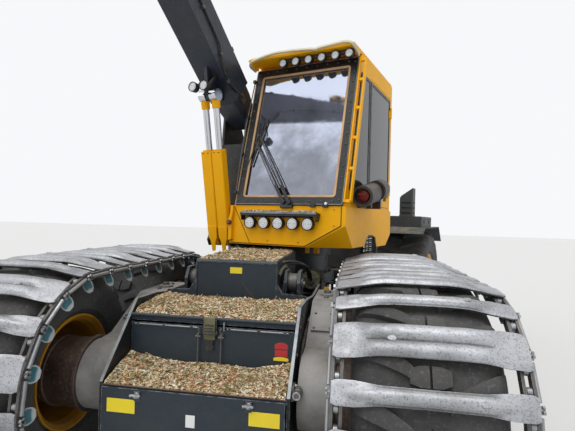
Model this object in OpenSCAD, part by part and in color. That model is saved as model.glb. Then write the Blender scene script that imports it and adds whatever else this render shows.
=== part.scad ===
// Wheeled forestry harvester: tracked front bogies, slewing cab and crane, steered rear frame
// X runs to the picture's right (the operator's left), Y to the rear, Z up, all in millimetres

/* [Layout] */
// Slew axis behind the middle of the front bogies
slew_y = 1530; // [1450:1:1700]
// Frame joint behind the middle of the front bogies
steer_y = 2300; // [2250:1:2600]
// Rear axle behind the frame joint
rear_axle_y = 1600; // [1500:1:1800]
// Middle of a wheel from the machine's centre line
half_gauge = 1197; // [1150:1:1300]

/* [As parked] */
// Cab and crane turned to the operator's right, degrees
rest_slew = 18; // [0:1:45]
// Rear frame swung to the operator's left, degrees
rest_steer = 18; // [0:1:35]
// Main boom above the horizontal, degrees
rest_boom = 41; // [5:1:73]
// Jib folded in from the line of the boom, degrees
rest_fold = 108; // [20:1:150]

/* [Front bogies] */
// Spacing of the two wheels of a bogie
bogie_base = 1578; // [1500:2:1700]
// Radius over the middle of a front tyre
front_tyre_r = 671; // [640:1:690]
// Width of a front tyre
front_tyre_w = 710; // [600:10:750]
// Radius of the front rim at its flange
front_rim_r = 355; // [340:1:365]
// Width across a bogie track
track_w = 863; // [800:1:900]
// Thickness of a track shoe at its middle
shoe_t = 34; // [25:1:45]
// Shoes in one track, an even number
shoe_count = 30; // [26:2:34]
// Gear case of a bogie, thickness
case_w = 180; // [150:5:220]
// Diameter of the hub housings on the gear cases
hub_d = 420; // [360:5:460]

/* [Rear wheels] */
// Radius over the lugs of a rear tyre
rear_tyre_r = 800; // [770:1:830]
// Width of a rear tyre
rear_tyre_w = 710; // [600:10:750]
// Height of a rear tyre's lugs
lug_h = 38; // [25:1:50]
// Pairs of lugs on a rear tyre
lug_pairs = 20; // [16:1:24]
// Radius of the rear rim at its flange
rear_rim_r = 450; // [430:1:470]

/* [Front frame and steps] */
// Half width of the centre beam
beam_half = 260; // [220:5:300]
// Height of the centre beam's underside
beam_z = 560; // [500:5:620]
// Height of the centre beam's top
beam_top = 1060; // [1000:5:1080]
// Half width between the step boxes' side plates
step_half = 524; // [480:1:540]
// Side plate thickness
side_t = 16; // [8:1:20]
// Front of the lower step
step1_y = -1084; // [-1150:1:-1000]
// Height of the lower step
step1_z = 762; // [700:1:800]
// Front of the middle step
step2_y = -770; // [-850:1:-700]
// Height of the middle step
step2_z = 1082; // [1000:1:1120]
// Front of the upper box
step3_y = -257; // [-350:1:-200]
// Height of the upper box's top
step3_z = 1398; // [1300:1:1410]
// Half width of the upper box
box_half = 300; // [260:5:320]
// Plate thickness of the step boxes
plate_t = 6; // [4:1:10]
// Running clearance between moving pieces
gap = 6; // [5:1:12]

/* [Cab] */
// Cab's right side from the slew axis
cab_x0 = -85; // [-100:1:-70]
// Cab's left side from the slew axis
cab_x1 = 1050; // [1000:1:1100]
// Foot of the windscreen ahead of the slew axis
cab_front = 800; // [700:10:900]
// Windscreen's lean at its top
cab_lean = 367; // [250:5:450]
// Back of the cab behind the slew axis
cab_rear = 760; // [700:10:1000]
// Underside of the cab's floor
cab_z = 1770; // [1700:1:1800]
// Foot of the windscreen above the ground
screen_z = 1833; // [1800:1:1900]
// Top of the windscreen above the ground
screen_top = 3250; // [3000:1:3250]
// Cab wall thickness
cab_t = 60; // [45:1:80]
// Glass thickness
glass_t = 9; // [6:1:12]
// Top of the roof above the ground
roof_z = 3400; // [3300:1:3450]
// Door thickness
door_t = 45; // [35:1:55]

/* [Crane] */
// Middle of the crane from the slew axis
crane_x = -270; // [-300:1:-250]
// Height of the boom's foot pin
boom_z = 2770; // [2700:1:2850]
// Boom's foot pin ahead of the slew axis
boom_y = 430; // [350:5:500]
// Boom length between its pins
boom_l = 4600; // [4000:50:4800]
// Boom width
boom_w = 300; // [260:5:330]
// Boom depth at its foot
boom_h = 320; // [280:5:340]
// Diameter of the lift cylinders' barrels
lift_d = 118; // [100:1:122]
// Diameter of the lift cylinders' rods
rod_d = 62; // [50:1:75]
// Spacing of the twin lift cylinders
lift_gap = 126; // [123:1:140]
// Jib length from its pin to its mouth
jib_l = 2500; // [2300:50:3000]
// Jib width
jib_w = 190; // [170:5:210]
// Jib depth
jib_h = 250; // [220:5:280]
// Jib wall thickness
jib_t = 10; // [8:1:14]
// Extension's tip beyond the jib's mouth when drawn in
tip_out = 260; // [200:5:400]
// Pin diameter of the crane
pin_d = 70; // [50:1:90]

/* [Head] */
// Length of the harvester head's frame
head_l = 1080; // [1000:10:1300]
// Width of the harvester head's frame
head_w = 400; // [360:5:460]
// Feed roller diameter
feed_d = 400; // [350:5:450]
// Feed roller height
feed_h = 270; // [240:5:320]

/* [Hidden] */
$fn = 48;

paint = [0.89, 0.68, 0.10];
slate = [0.21, 0.25, 0.31];
dark = [0.09, 0.10, 0.11];
steel = [0.62, 0.63, 0.64];
rubber = [0.10, 0.10, 0.105];

// The row's origin is the middle of the plan at rest, on the ground
mid_x = -75;
mid_y = 633;

// Wheel centre height: the tyre stands on its shoes
wheel_z = front_tyre_r + shoe_t + 1;
loop_r = front_tyre_r + 1;
hub_bore = 134;
case_x = 565;
loop_len = 2 * bogie_base + 2 * PI * loop_r;

// Placing helpers
module placed() translate([-mid_x, -mid_y, 0]) children();
module on_upper() placed() translate([0, slew_y, 0]) rotate([0, 0, -rest_slew]) children();
module on_rear() placed() translate([0, steer_y, 0]) rotate([0, 0, -rest_steer]) children();
module box(x0, x1, y0, y1, z0, z1) translate([x0, y0, z0]) cube([x1 - x0, y1 - y0, z1 - z0]);
module rod_x(d, x0, x1, y, z) translate([x0, y, z]) rotate([0, 90, 0]) cylinder(h = x1 - x0, d = d);
module rod_y(d, x, y0, y1, z) translate([x, y0, z]) rotate([-90, 0, 0]) cylinder(h = y1 - y0, d = d);
module rod_z(d, x, y, z0, z1) translate([x, y, z0]) cylinder(h = z1 - z0, d = d);
module plate_x(x0, x1, pts) translate([x0, 0, 0]) rotate([90, 0, 90]) linear_extrude(x1 - x0) polygon(pts);
module plate_y(y0, y1, pts) translate([0, y1, 0]) rotate([90, 0, 0]) linear_extrude(y1 - y0) polygon(pts);
module both() { children(); mirror([1, 0, 0]) children(); }

// Arms of the crane are drawn with their pin at the origin, pointing along -Y, then raised
module raised(p, e) translate([0, p[0], p[1]]) rotate([-e, 0, 0]) children();
function along(p, e, s, n) = [p[0] - s * cos(e) + n * sin(e), p[1] + s * sin(e) + n * cos(e)];
function dist(a, b) = norm([a[0] - b[0], a[1] - b[1]]);
function rise(a, b) = atan2(b[1] - a[1], a[0] - b[0]);

// Crane pins as [y, z] in the turned upper structure
jib_n = 70;
boom_end = 560;
jibcyl_n = 235;
boom_pin = [-boom_y, boom_z];
lift_foot = [-735, 1482];
lift_s = 501;
lift_n = -292;
lift_eye = along(boom_pin, rest_boom, lift_s, lift_n);
lift_e = rise(lift_foot, lift_eye);
jib_pin = along(boom_pin, rest_boom, boom_l, jib_n);
jib_e = rest_boom - rest_fold;
jibcyl_foot = along(boom_pin, rest_boom, boom_l - 1500, jibcyl_n);
tail_r = 200;
tail_a = 155;
jib_tail = along(jib_pin, jib_e + tail_a, tail_r, 0);
jibcyl_e = rise(jibcyl_foot, jib_tail);
jib_tip = along(jib_pin, jib_e, jib_l + tip_out, 0);

// Heights of what hangs from the tip
link_l = 230;
rot_h = 330;
hang_y = jib_tip[0];
hang_z = jib_tip[1];
rot_z = hang_z - link_l;
disc_z = rot_z - rot_h;
tilt_z = disc_z - 190;
head_z = tilt_z - 300;

// Top of the lip under the lower lid, and the towing jaw's foot
lip_z = 461;
jaw_z = 350;

// Front frame: centre beam, slew pedestal, lugs and the fork of the frame joint
module front_frame() color(slate) placed() {
  difference() {
    box(-beam_half, beam_half, -440, 1930, beam_z, beam_top);
    box(-beam_half + 60, beam_half - 60, 1300, 1931, beam_z - 1, 760);
  }
  rod_z(1240, 0, slew_y, beam_top - 2, 1150);
  rod_z(1100, 0, slew_y, 1149, 1330.7);
  both() box(beam_half - 2, 520, slew_y - 420, slew_y + 420, 960, beam_top + 20);
  // Clevis lugs over the pendulum cylinders
  both() for (x = [330, 432]) plate_x(x, x + 20, [[-110, beam_top - 60], [110, beam_top - 60],
      [110, 1230], [60, 1315], [-60, 1315], [-110, 1230]]);
  both() for (y = [-110, 80]) box(beam_half - 2, 452, y, y + 30, beam_top - 100, beam_top - 50);
  both() rod_x(60, 331, 451, 0, 1215);
  // Fork of the frame joint
  for (z = [600, 950]) {
    box(-240, 240, 1920, steer_y, z, z + 50);
    rod_z(480, 0, steer_y, z, z + 50);
  }
  rod_z(120, 0, steer_y, 601, 999);
  both() for (z = [728, 858])
      box(beam_half - 2, 470, steer_y + steer_foot[1] - 50, steer_y + steer_foot[1] + 50, z, z + 14);
  both() rod_z(50, steer_foot[0], steer_y + steer_foot[1], 729, 871);
  // Pins of the pendulum arms
  both() rod_x(150, beam_half - 2, 500, 900, 760);
}

// Step boxes at the front: floor, treads, riser openings and the wall behind them
tack = 0.3;
module step_box() color(slate) placed() {
  // Floor, wall, shelf and tread are four plates, tacked where they meet the side plates
  box(-step_half, step_half, step1_y + 6, -440, 394, 400);
  box(-step_half, step_half, -446, -440, 400 + tack, step2_z - plate_t - tack);
  box(-step_half, step_half, step1_y, -446 - tack, step1_z - plate_t, step1_z);
  box(-step_half, step_half, step2_y, step3_y, step2_z - plate_t, step2_z);
  box(-step_half, step_half, step1_y, step1_y + 8, 340, lip_z);
  box(-step_half, step_half, step1_y, step1_y + 8, 740, step1_z - 1);
  box(-step_half, step_half, step2_y, step2_y + 8, step2_z - 30, step2_z - 1);
  rod_x(22, -step_half, step_half, step2_y - 6, step2_z + 4);
  for (x = [-300, 300]) {
    ears(x, step1_y - 11, lip_z + 11, lip_z - 11);
    ears(x, step2_y - 11, step1_z + 20, step1_z - 1);
  }
  // Towing jaw at the foot of the front
  for (z = [jaw_z, jaw_z + 76]) difference() {
    union() {
      box(-60, 60, step1_y - 60, step1_y + 1, z, z + 30);
      rod_z(120, 0, step1_y - 60, z, z + 30);
    }
    rod_z(51, 0, step1_y - 60, z - 1, z + 31);
  }
}

// Side plates of the steps, from the towing jaw to the slewing ring
module step_sides() color(slate) placed() both() plate_x(step_half, step_half + side_t,
    [[step1_y, 330], [step1_y, step1_z + 8], [-705, 1170], [-430, 1165], [100, 1105],
    [709, 1115], [709, 1010], [-300, 1010], [-440, 560], [-560, 330]]);

// Box on the front frame, its lid a little higher at the rear
module rear_box() color(slate) placed() plate_x(-box_half, box_half,
    [[step3_y, beam_top], [step3_y, step3_z - 14], [step3_y + 12, step3_z],
    [709, step3_z + 12], [709, beam_top]]);

// Hinge barrel of a lid, and the pin with its two ears that holds it
module knuckle(x, y, z) difference() {
  union() {
    rod_x(20, x - 50, x + 50, y, z);
    box(x - 50, x + 50, y - 3, y + 3, z + 6, z + 15);
  }
  rod_x(10.2, x - 51, x + 51, y, z);
}
module ears(x, y, z, foot) {
  rod_x(10, x - 57, x + 57, y, z);
  for (e = [x - 58, x + 50.4]) box(e, e + 7.6, y - 10, y + 12, foot, z + 8);
}

module lower_lid() color(slate) placed() {
  box(-step_half + 6, step_half - 6, step1_y - 14, step1_y - 8, lip_z + 25, 752);
  for (x = [-300, 300]) knuckle(x, step1_y - 11, lip_z + 11);
}

module upper_lid() color(slate) placed() {
  box(-step_half + 6, step_half - 6, step2_y - 14, step2_y - 8, step1_z + 34, step2_z - 40);
  for (x = [-300, 300]) knuckle(x, step2_y - 11, step1_z + 20);
}

// Pendulum arms carry the bogies and are held by upright cylinders
module pendulum_arms() color(slate) placed() both() {
  difference() {
    union() {
      plate_x(300, 500, [[-150, 560], [-110, 540], [110, 540], [900, 620], [1030, 690], [1030, 830],
          [900, 900], [200, 800], [-150, 800]]);
      rod_x(300, 300, 500, 900, 760);
    }
    rod_x(150.2, 290, 510, 900, 760);
    box(340, 446, -100, 100, 688, 900);
  }
  rod_x(230, 480, case_x, 0, wheel_z);
  rod_x(60, 339, 447, 0, 750);
}

module pendulum_cylinders() color(dark) placed() both() difference() {
  union() {
    rod_x(150, 354, 428, 0, 1215);
    rod_z(76, 391, 0, 980, 1200);
    rod_z(120, 391, 0, 860, 990);
    rod_z(66, 391, 0, 760, 861);
    rod_x(110, 354, 428, 0, 750);
  }
  rod_x(60.2, 350, 430, 0, 1215);
  rod_x(60.2, 350, 430, 0, 750);
}

// Bogie gear cases, deep in the middle, with round hub housings at the ends
module bogie_cases() color(slate) placed() both() {
  x0 = case_x;
  x1 = x0 + case_w;
  h = bogie_base / 2;
  plate_x(x0, x1, [[-h - 60, wheel_z - 200], [-h - 60, wheel_z + 200], [-h + 150, wheel_z + 215],
      [-250, 1135], [250, 1135], [h - 150, wheel_z + 215],
    [h + 60, wheel_z + 200], [h + 60, wheel_z - 200], [250, wheel_z - 250], [-250, wheel_z - 250]]);
  for (y = [-h, h]) {
    rod_x(hub_d, x0, half_gauge - 190, y, wheel_z);
    rod_x(2 * hub_bore - 0.2, half_gauge - 191, half_gauge + 66, y, wheel_z);
  }
}

// One rim: barrel with flanges and a flat disc, its axis along X
module rim(r, w, disc) rotate([0, 90, 0]) rotate_extrude() polygon([[r, -w / 2], [r, -w / 2 + 10],
    [r - 24, -w / 2 + 24],
  [r - 40, -w / 2 + 60], [r - 40, w / 2 - 60], [r - 24, w / 2 - 24], [r, w / 2 - 10], [r, w / 2],
      [r - 12, w / 2], [r - 36, w / 2 - 22],
  [r - 52, w / 2 - 60], [r - 52, disc + 22], [hub_bore, disc + 22], [hub_bore, disc], [r - 52, disc],
      [r - 52, -w / 2 + 60], [r - 36, -w / 2 + 22],
  [r - 12, -w / 2]]);

// One tyre's carcass on a rim of radius b, from the bead over the shoulder to the crown
module carcass(r, w, b, bu = front_tyre_w * 0.43 - 26) rotate([0, 90, 0]) rotate_extrude($fn = 36)
    polygon([[b - 23.9, -bu], [b + 6, -bu - 4],
  [b + 20, -w * 0.44], [(b + r) / 2, -w / 2], [r - 62, -w * 0.48], [r - 20, -w * 0.40],
      [r - 3, -w * 0.22], [r, 0], [r - 3, w * 0.22],
  [r - 20, w * 0.40], [r - 62, w * 0.48], [(b + r) / 2, w / 2], [b + 20, w * 0.44], [b + 6, bu + 4],
      [b - 23.9, bu]]);

module front_rims() color(dark) placed() both() for (y = [-bogie_base / 2, bogie_base / 2])
  translate([half_gauge, y, wheel_z]) rim(front_rim_r, front_tyre_w * 0.86, 40);

module front_tyres() color(rubber) placed() both() for (y = [-bogie_base / 2, bogie_base / 2])
  translate([half_gauge, y, wheel_z]) carcass(front_tyre_r, front_tyre_w, front_rim_r);

// A place on the track's loop as [y, z, turn], from the top of the front wheel forwards and down
function loop_at(s) = let (a = PI * loop_r, q = s % loop_len)
  q < a ? [-bogie_base / 2 - loop_r * sin(q / loop_r * 180 / PI),
      wheel_z + loop_r * cos(q / loop_r * 180 / PI), q / loop_r * 180 / PI]
  : q < a + bogie_base ? [-bogie_base / 2 + (q - a), wheel_z - loop_r, 180]
  : q < 2 * a + bogie_base ? let (t = (q - a - bogie_base) / loop_r * 180 / PI) [bogie_base / 2 + loop_r * sin(t), wheel_z - loop_r * cos(t), 180 + t]
  : [bogie_base / 2 - (q - 2 * a - bogie_base), wheel_z + loop_r, 0];

// One shoe seen along the track: arched over the tyre, with paddles down both sides
module shoe(w, u = track_w / 2) translate([0, -w / 2, 0]) rotate([-90, 0, 0]) mirror([0, 1, 0])
    linear_extrude(w)
  polygon([[-u, -110], [-u, -15], [-330, 8], [-180, shoe_t - 1], [180, shoe_t - 1], [330, 8], [u, -15],
      [u, -110],
    [u - 22, -110], [u - 30, -62], [347, -58], [290, -19], [160, -0.7], [-160, -0.7], [-290, -19],
        [-347, -58], [-u + 30, -62], [-u + 22, -110]]);

// Cross bars: a narrow one and a wide one in turn, joined by link plates along both edges
module track(phase) {
  for (i = [0 : shoe_count - 1]) {
    q = loop_at(loop_len + phase * PI / 180 * loop_r + i * loop_len / shoe_count);
    translate([half_gauge, q[0], q[1]]) rotate([q[2], 0, 0]) shoe(i % 2 == 0 ? 110 : 180);
  }
  for (x = [half_gauge - track_w / 2 + 2, half_gauge + track_w / 2 - 38]) translate([x, 0, 0])
      rotate([90, 0, 90]) linear_extrude(36) difference() {
    polygon([for (i = [0 : 2 * shoe_count - 1])
        let (q = loop_at(i * loop_len / (2 * shoe_count))) [q[0] + 52 * sin(q[2]), q[1] - 52 * cos(q[2])]]);
    polygon([for (i = [0 : 2 * shoe_count - 1])
        let (q = loop_at(i * loop_len / (2 * shoe_count))) [q[0] + 92 * sin(q[2]), q[1] - 92 * cos(q[2])]]);
  }
}

module track_left() color(steel) placed() track(25.9);
module track_right() color(steel) placed() mirror([1, 0, 0]) track(9.4);

// Slewing deck: turntable, the cab's platform and its mounts
module slew_deck() color(dark) on_upper() {
  rod_z(1160, 0, 0, 1331, 1420);
  difference() {
    plate_x(-430, 660, [[-640, 1480], [-640, 1690], [cab_rear, 1690], [cab_rear, 1480], [300, 1420],
        [-300, 1420]]);
    box(crane_x - 151, crane_x + 151, -641, -50, 1420, 1700);
  }
  for (y = [-560, cab_rear - 120]) box(659, 930, y - 60, y + 60, 1640, 1690);
  for (x = [60, 860], y = [-560, cab_rear - 120]) rod_z(110, x, y, 1689, cab_z);
}

// Faceted skirt round the cab's foot: front sheet, side sheet with an arch, and the slanting facet between them
skirt_x = 1066;
skirt_t = 8;
arch_y = [-235, 199];
facet = [[690, -cab_front - 4, 1459], [skirt_x - 4, -cab_front - 4, 1664], [skirt_x - 4, -600, 1462]];
module sheet3(p, t) {
  u = (p[2] - p[0]) / norm(p[2] - p[0]);
  c = cross(p[2] - p[0], p[1] - p[0]);
  n = c / norm(c);
  v = cross(n, u);
  w = p[1] - p[0];
  multmatrix([[u[0], v[0], n[0], p[0][0]], [u[1], v[1], n[1], p[0][1]], [u[2], v[2], n[2], p[0][2]],
      [0, 0, 0, 1]])
    translate([0, 0, -t / 2]) linear_extrude(t) polygon([[0, 0], [norm(p[2] - p[0]), 0], [w * u, w * v]]);
}
module skirt() color(paint) on_upper() {
  plate_y(-cab_front - skirt_t, -cab_front, [[-130, 1458], [693, 1458], [skirt_x, 1662], [skirt_x, 1830],
      [-130, 1830]]);
  plate_x(skirt_x - skirt_t, skirt_x, [[-cab_front - skirt_t, 1660], [-cab_front - skirt_t, 1830],
      [cab_rear, 1830], [cab_rear, 1560], [560, 1440],
    [arch_y[1], 1440], [arch_y[1] - 60, 1540], [0, 1570], [-100, 1570], [arch_y[0] + 50, 1540],
        [arch_y[0], 1464], [-603, 1461]]);
  sheet3(facet, skirt_t);
  plate_y(-cab_front - 1, cab_rear, [[cab_x1 + 0.2, 1820], [cab_x1 + 0.2, 1830], [skirt_x - 1, 1830],
      [skirt_x - 1, 1820]]);
  // Shelf over the lamp bar
  plate_x(60, 800, [[-cab_front - 70, 1740], [-cab_front - 70, 1748], [-cab_front - 7, 1762],
      [-cab_front - 7, 1740]]);
}

function cab_side(o) = [[-cab_front + o, cab_z + o], [-cab_front + o, screen_z],
    [-cab_front + cab_lean + o, screen_top - o], [-cab_front + cab_lean + 60 + o, 3300 - o],
  [cab_rear - o, 3300 - o], [cab_rear - o, cab_z + o]];

door_y0 = -130;
door_y1 = 680;
door_top = 3143;
// The door's outline, drawn in by o on each side, and the fixed window ahead of it
function door_pts(o) = [[door_y0 + o, cab_z + 90 + o], [door_y0 + o, door_top - o],
    [door_y1 - o, door_top - o], [door_y1 - o, cab_z + 90 + o]];
function pane_pts(o) = [[-665 - o, 2000 - o], [-382 - o, 3100 + o], [door_y0 - 60 + o, 3100 + o],
    [door_y0 - 60 + o, 2000 - o]];

module cab_shell() color(paint) on_upper() {
  cab_box();
  for (z = hinge_z) {
    rod_z(12, cab_x1 + 14, door_y1 - 10, z - 46, z + 80);
    rod_z(26, cab_x1 + 14, door_y1 - 10, z + 45.4, z + 80);
    box(cab_x1 - 1, cab_x1 + 14, door_y1 + 2, door_y1 + 40, z + 45.4, z + 80);
    box(cab_x1 + 4, cab_x1 + 14, door_y1 - 10, door_y1 + 3, z + 45.4, z + 80);
  }
}

module cab_box() difference() {
  plate_x(cab_x0, cab_x1, cab_side(0));
  difference() {
    plate_x(cab_x0 + cab_t, cab_x1 - cab_t, cab_side(cab_t));
    box(cab_x0, cab_x1, -cab_front - 1, cab_rear, cab_z - 1, cab_z + 60);
  }
  // Windscreen, door, side window, rear window and roof openings
  plate_x(cab_x0 + cab_t, cab_x1 - cab_t, [[-cab_front - 1, screen_z + 8],
      [-cab_front + 50, screen_z + 8], [-cab_front + cab_lean + 50, screen_top - 70],
      [-cab_front + cab_lean - 30, screen_top - 70]]);
  plate_x(cab_x1 - cab_t - 1, cab_x1 + 1, door_pts(0));
  plate_x(cab_x0 - 1, cab_x0 + cab_t + 1, [[-560, 1990], [-340, 3100], [cab_rear - 160, 3100],
      [cab_rear - 160, 1990]]);
  plate_x(cab_x1 - cab_t - 1, cab_x1 + 1, pane_pts(0));
  box(cab_x0 + 130, cab_x1 - 130, cab_rear - cab_t - 1, cab_rear + 1, 2150, 3080);
  box(cab_x0 + cab_t, cab_x1 - cab_t, -360, cab_rear - cab_t, 3200, 3310);
}

// Roof with a visor ahead of the screen
visor_y = -cab_front + cab_lean - 202;
visor_z = 3296;
module cab_roof() color(paint) on_upper() {
  // The roof's long edges are folded down, and the visor's cheeks close its two ends
  intersection() {
    plate_x(cab_x0 + 10, cab_x1 - 10, [[visor_y, visor_z], [visor_y, visor_z + 16], [visor_y + 22, visor_z + 38],
        [-330, roof_z], [cab_rear - 60, roof_z], [cab_rear + 10, 3340], [cab_rear + 10, 3300],
        [-cab_front + cab_lean + 40, 3300], [-cab_front + cab_lean + 40, visor_z]]);
    plate_y(visor_y - 1, cab_rear + 11, [[cab_x0 + 10, visor_z - 1], [cab_x0 + 10, visor_z + 22],
        [cab_x0 + 145, roof_z + 1], [cab_x1 - 145, roof_z + 1], [cab_x1 - 10, visor_z + 34],
        [cab_x1 - 10, visor_z - 1]]);
  }
  for (x = [cab_x0 + 10, cab_x1 - 22]) plate_x(x, x + 12, [[visor_y + 25, visor_z + 1], [-445, visor_z + 1],
      [-452, visor_z - 40], [-520, visor_z - 46]]);
}

function screen_at(t, n) = let (h = screen_top - screen_z, l = norm([h,
    cab_lean])) [-cab_front + t * cab_lean / l - n * h / l, screen_z + t * h / l + n * cab_lean / l];

// Black frame bolted round the windscreen
module screen_frame() color(dark) on_upper() {
  l = norm([screen_top - screen_z, cab_lean]);
  difference() {
    plate_x(cab_x0 + 20, cab_x1 - 10,
        [screen_at(0, 0.5), screen_at(0, 22), screen_at(l - 4, 22), screen_at(l - 4, 0.5)]);
    plate_x(cab_x0 + 95, cab_x1 - 85,
        [screen_at(75, -30), screen_at(75, 40), screen_at(l - 85, 40), screen_at(l - 85, -30)]);
  }
}

module cab_glass() color([0.1, 0.12, 0.12, 0.4]) on_upper() {
  l = norm([screen_top - screen_z, cab_lean]);
  plate_x(cab_x0 + cab_t + 6, cab_x1 - cab_t - 6,
      [screen_at(20, 0.4 - glass_t), screen_at(20, 0.4), screen_at(l - 78, 0.4), screen_at(l - 78,
      0.4 - glass_t)]);
  plate_x(cab_x0 + 10, cab_x0 + 10 + glass_t, [[-559, 1991], [-340, 3099], [cab_rear - 161, 3099],
      [cab_rear - 161, 1991]]);
  plate_x(cab_x1 - 30, cab_x1 - 30 + glass_t, pane_pts(-1));
  box(cab_x0 + 131, cab_x1 - 131, cab_rear - 30, cab_rear - 30 + glass_t, 2151, 3079);
}

hinge_z = [2050, 2950];
module cab_door() color(paint) on_upper() {
  difference() {
    plate_x(cab_x1 - door_t, cab_x1, door_pts(gap));
    plate_x(cab_x1 - door_t - 1, cab_x1 + 1, door_pts(gap + 70));
  }
  for (z = hinge_z) difference() {
    union() {
      rod_z(26, cab_x1 + 14, door_y1 - 10, z - 45, z + 45);
      box(cab_x1 - 1, cab_x1 + 10, door_y1 - 60, door_y1 - 10, z - 45, z + 45);
    }
    rod_z(12.4, cab_x1 + 14, door_y1 - 10, z - 46, z + 46);
  }
}

module door_glass() color([0.1, 0.12, 0.12, 0.4]) on_upper()
    plate_x(cab_x1 - 26, cab_x1 - 26 + glass_t, door_pts(gap + 70));

// Roof lamps under the visor and the lamp bar under the shelf
module lamps() color(dark) on_upper() {
  for (i = [0 : 5]) translate([cab_x0 + 385 + i * 137, visor_y + 32, visor_z - 51]) rotate([-90, 0, 0])
      cylinder(h = 70, d = 80);
  box(cab_x0 + 330, cab_x1 - 32, visor_y + 72, visor_y + 102, visor_z - 40, visor_z - 0.4);
  for (i = [0 : 4]) translate([130 + i * 150, -cab_front - 66, 1668]) rotate([-90, 0, 0])
      cylinder(h = 58, d = 110);
  box(100, 760, -cab_front - 30, -cab_front - 8, 1722, 1740);
}

module seat() color(dark) on_upper() {
  rod_z(260, 480, 140, cab_z + 60, 2150);
  box(240, 720, -120, 380, 2149, 2290);
  plate_x(250, 710, [[300, 2280], [400, 2280], [560, 3000], [470, 3010]]);
}

module console() color(dark) on_upper() {
  for (x = [150, 730]) {
    box(x, x + 90, -250, 260, 2330, 2400);
    rod_z(44, x + 45, -210, 2399, 2500);
    box(x == 150 ? 170 : 720, x == 150 ? 240 : 790, 60, 160, 2230, 2331);
  }
  box(120, 160, -500, -460, cab_z + 60, 2350);
  box(100, 400, -530, -499, 2300, 2480);
}

// Two extinguisher tubes in a row along the skirt's top, their mouths forward
tubes = [[1162, -655, 1925, 330], [1186, -318, 1998, 168]];
module extinguishers() color(dark) on_upper() {
  for (t = tubes) translate([t[0], t[1], t[2]]) rotate([10, 0, 0]) difference() {
    rod_y(190, 0, 0, t[3], 0);
    rod_y(150, 0, -1, 60, 0);
  }
  box(cab_x1 + 0.2, 1180, -440, -400, 1830.2, 1880);
  box(cab_x1 + 0.2, 1200, -200, -160, 1830.2, 1935);
}

// Crane pillar with the cheeks of the boom's foot and the lift cylinders' feet
module crane_pillar() color(dark) on_upper() {
  difference() {
    plate_x(crane_x - 150, crane_x + 150, [[-575, 1421], [-575, 2600], [boom_pin[0] - 120, 2840],
        [boom_pin[0] + 100, 2860], [-180, 2600], [-120, 1700], [-60, 1421]]);
    plate_x(crane_x - 125, crane_x + 125, [[-700, 2460], [-700, 2900], [0, 2900], [0, 2560]]);
  }
  rod_x(pin_d, crane_x - 149, crane_x + 149, boom_pin[0], boom_pin[1]);
  for (x = [-lift_gap / 2 - 80, lift_gap / 2 + 64]) plate_x(crane_x + x, crane_x + x + 16, [[-560, 1422],
      [-770, 1422], [-800, 1482], [-770, 1542], [-560, 1600]]);
  rod_x(50, crane_x - lift_gap / 2 - 79, crane_x + lift_gap / 2 + 79, lift_foot[0], lift_foot[1]);
}

lift_len = dist(lift_foot, lift_eye);
barrel_l = 900;
module lift_barrels() color(paint) on_upper() for (k = [-0.5, 0.5])
    translate([crane_x + k * lift_gap, 0, 0]) raised(lift_foot, lift_e) difference() {
  union() {
    rod_x(lift_d, -40, 40, 0, 0);
    rod_y(lift_d, 0, -barrel_l, -50, 0);
  }
  rod_x(50.2, -60, 60, 0, 0);
  rod_y(rod_d + 2, 0, -barrel_l - 1, -120, 0);
}

module lift_rods() color(steel) on_upper() for (k = [-0.5, 0.5]) translate([crane_x + k * lift_gap, 0, 0])
    raised(lift_foot, lift_e) {
  rod_y(rod_d, 0, -lift_len + 40, -500, 0);
  rod_x(120, -38, 38, -lift_len, 0);
}

// Main boom: box section, foot eye, lug between the rod eyes and cheeks round the jib's pin
module boom() color(slate) on_upper() translate([crane_x, 0, 0]) {
  raised(boom_pin, rest_boom) {
    difference() {
      union() {
        plate_x(-115, 115, [[70, -90], [-300, -boom_h / 2], [-420, -boom_h / 2], [-420, boom_h / 2],
            [-200, boom_h / 2], [60, 90]]);
        plate_x(-boom_w / 2, boom_w / 2, [[-330, -boom_h / 2], [-boom_l + 760, -130],
            [-boom_l + boom_end, -50], [-boom_l + boom_end, 100], [-1300, boom_h / 2], [-330, boom_h / 2]]);
      }
      rod_x(pin_d + 0.2, -200, 200, 0, 0);
    }
    for (x = [-150, 130]) plate_x(x, x + 20, [[-boom_l + 820, -90], [-boom_l + 60, jib_n - 90],
        [-boom_l - 80, jib_n - 40], [-boom_l - 90, jib_n + 60], [-boom_l + 60, jib_n + 100],
        [-boom_l + 820, 90]]);
    rod_x(pin_d, -149, 149, -boom_l, jib_n);
    plate_x(-18, 18, [[-lift_s - 230, -boom_h / 2 + 2], [-lift_s - 55, lift_n - 20],
        [-lift_s, lift_n - 62], [-lift_s + 55, lift_n - 20], [-lift_s + 150, -boom_h / 2 + 2]]);
    for (x = [-76, 60]) plate_x(x, x + 16, [[-boom_l + 1640, 60], [-boom_l + 1550, jibcyl_n + 40],
        [-boom_l + 1450, jibcyl_n + 40], [-boom_l + 1360, 60]]);
    rod_x(50, -75, 75, -boom_l + 1500, jibcyl_n);
  }
}

jibcyl_len = dist(jibcyl_foot, jib_tail);
jib_barrel_l = 960;
jib_rod_l = 950;
module jib_barrel() color(paint) on_upper() translate([crane_x, 0, 0]) raised(jibcyl_foot, jibcyl_e)
    difference() {
  union() {
    rod_x(110, -38, 38, 0, 0);
    rod_y(110, 0, -jib_barrel_l, -50, 0);
  }
  rod_x(50.2, -60, 60, 0, 0);
  rod_y(58, 0, -jib_barrel_l - 1, -120, 0);
}

module jib_rod() color(steel) on_upper() translate([crane_x, 0, 0]) raised(jibcyl_foot, jibcyl_e) {
  rod_y(56, 0, -jibcyl_len + 40, -jibcyl_len + jib_rod_l, 0);
  rod_x(90, -24, 24, -jibcyl_len, 0);
}

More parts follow.
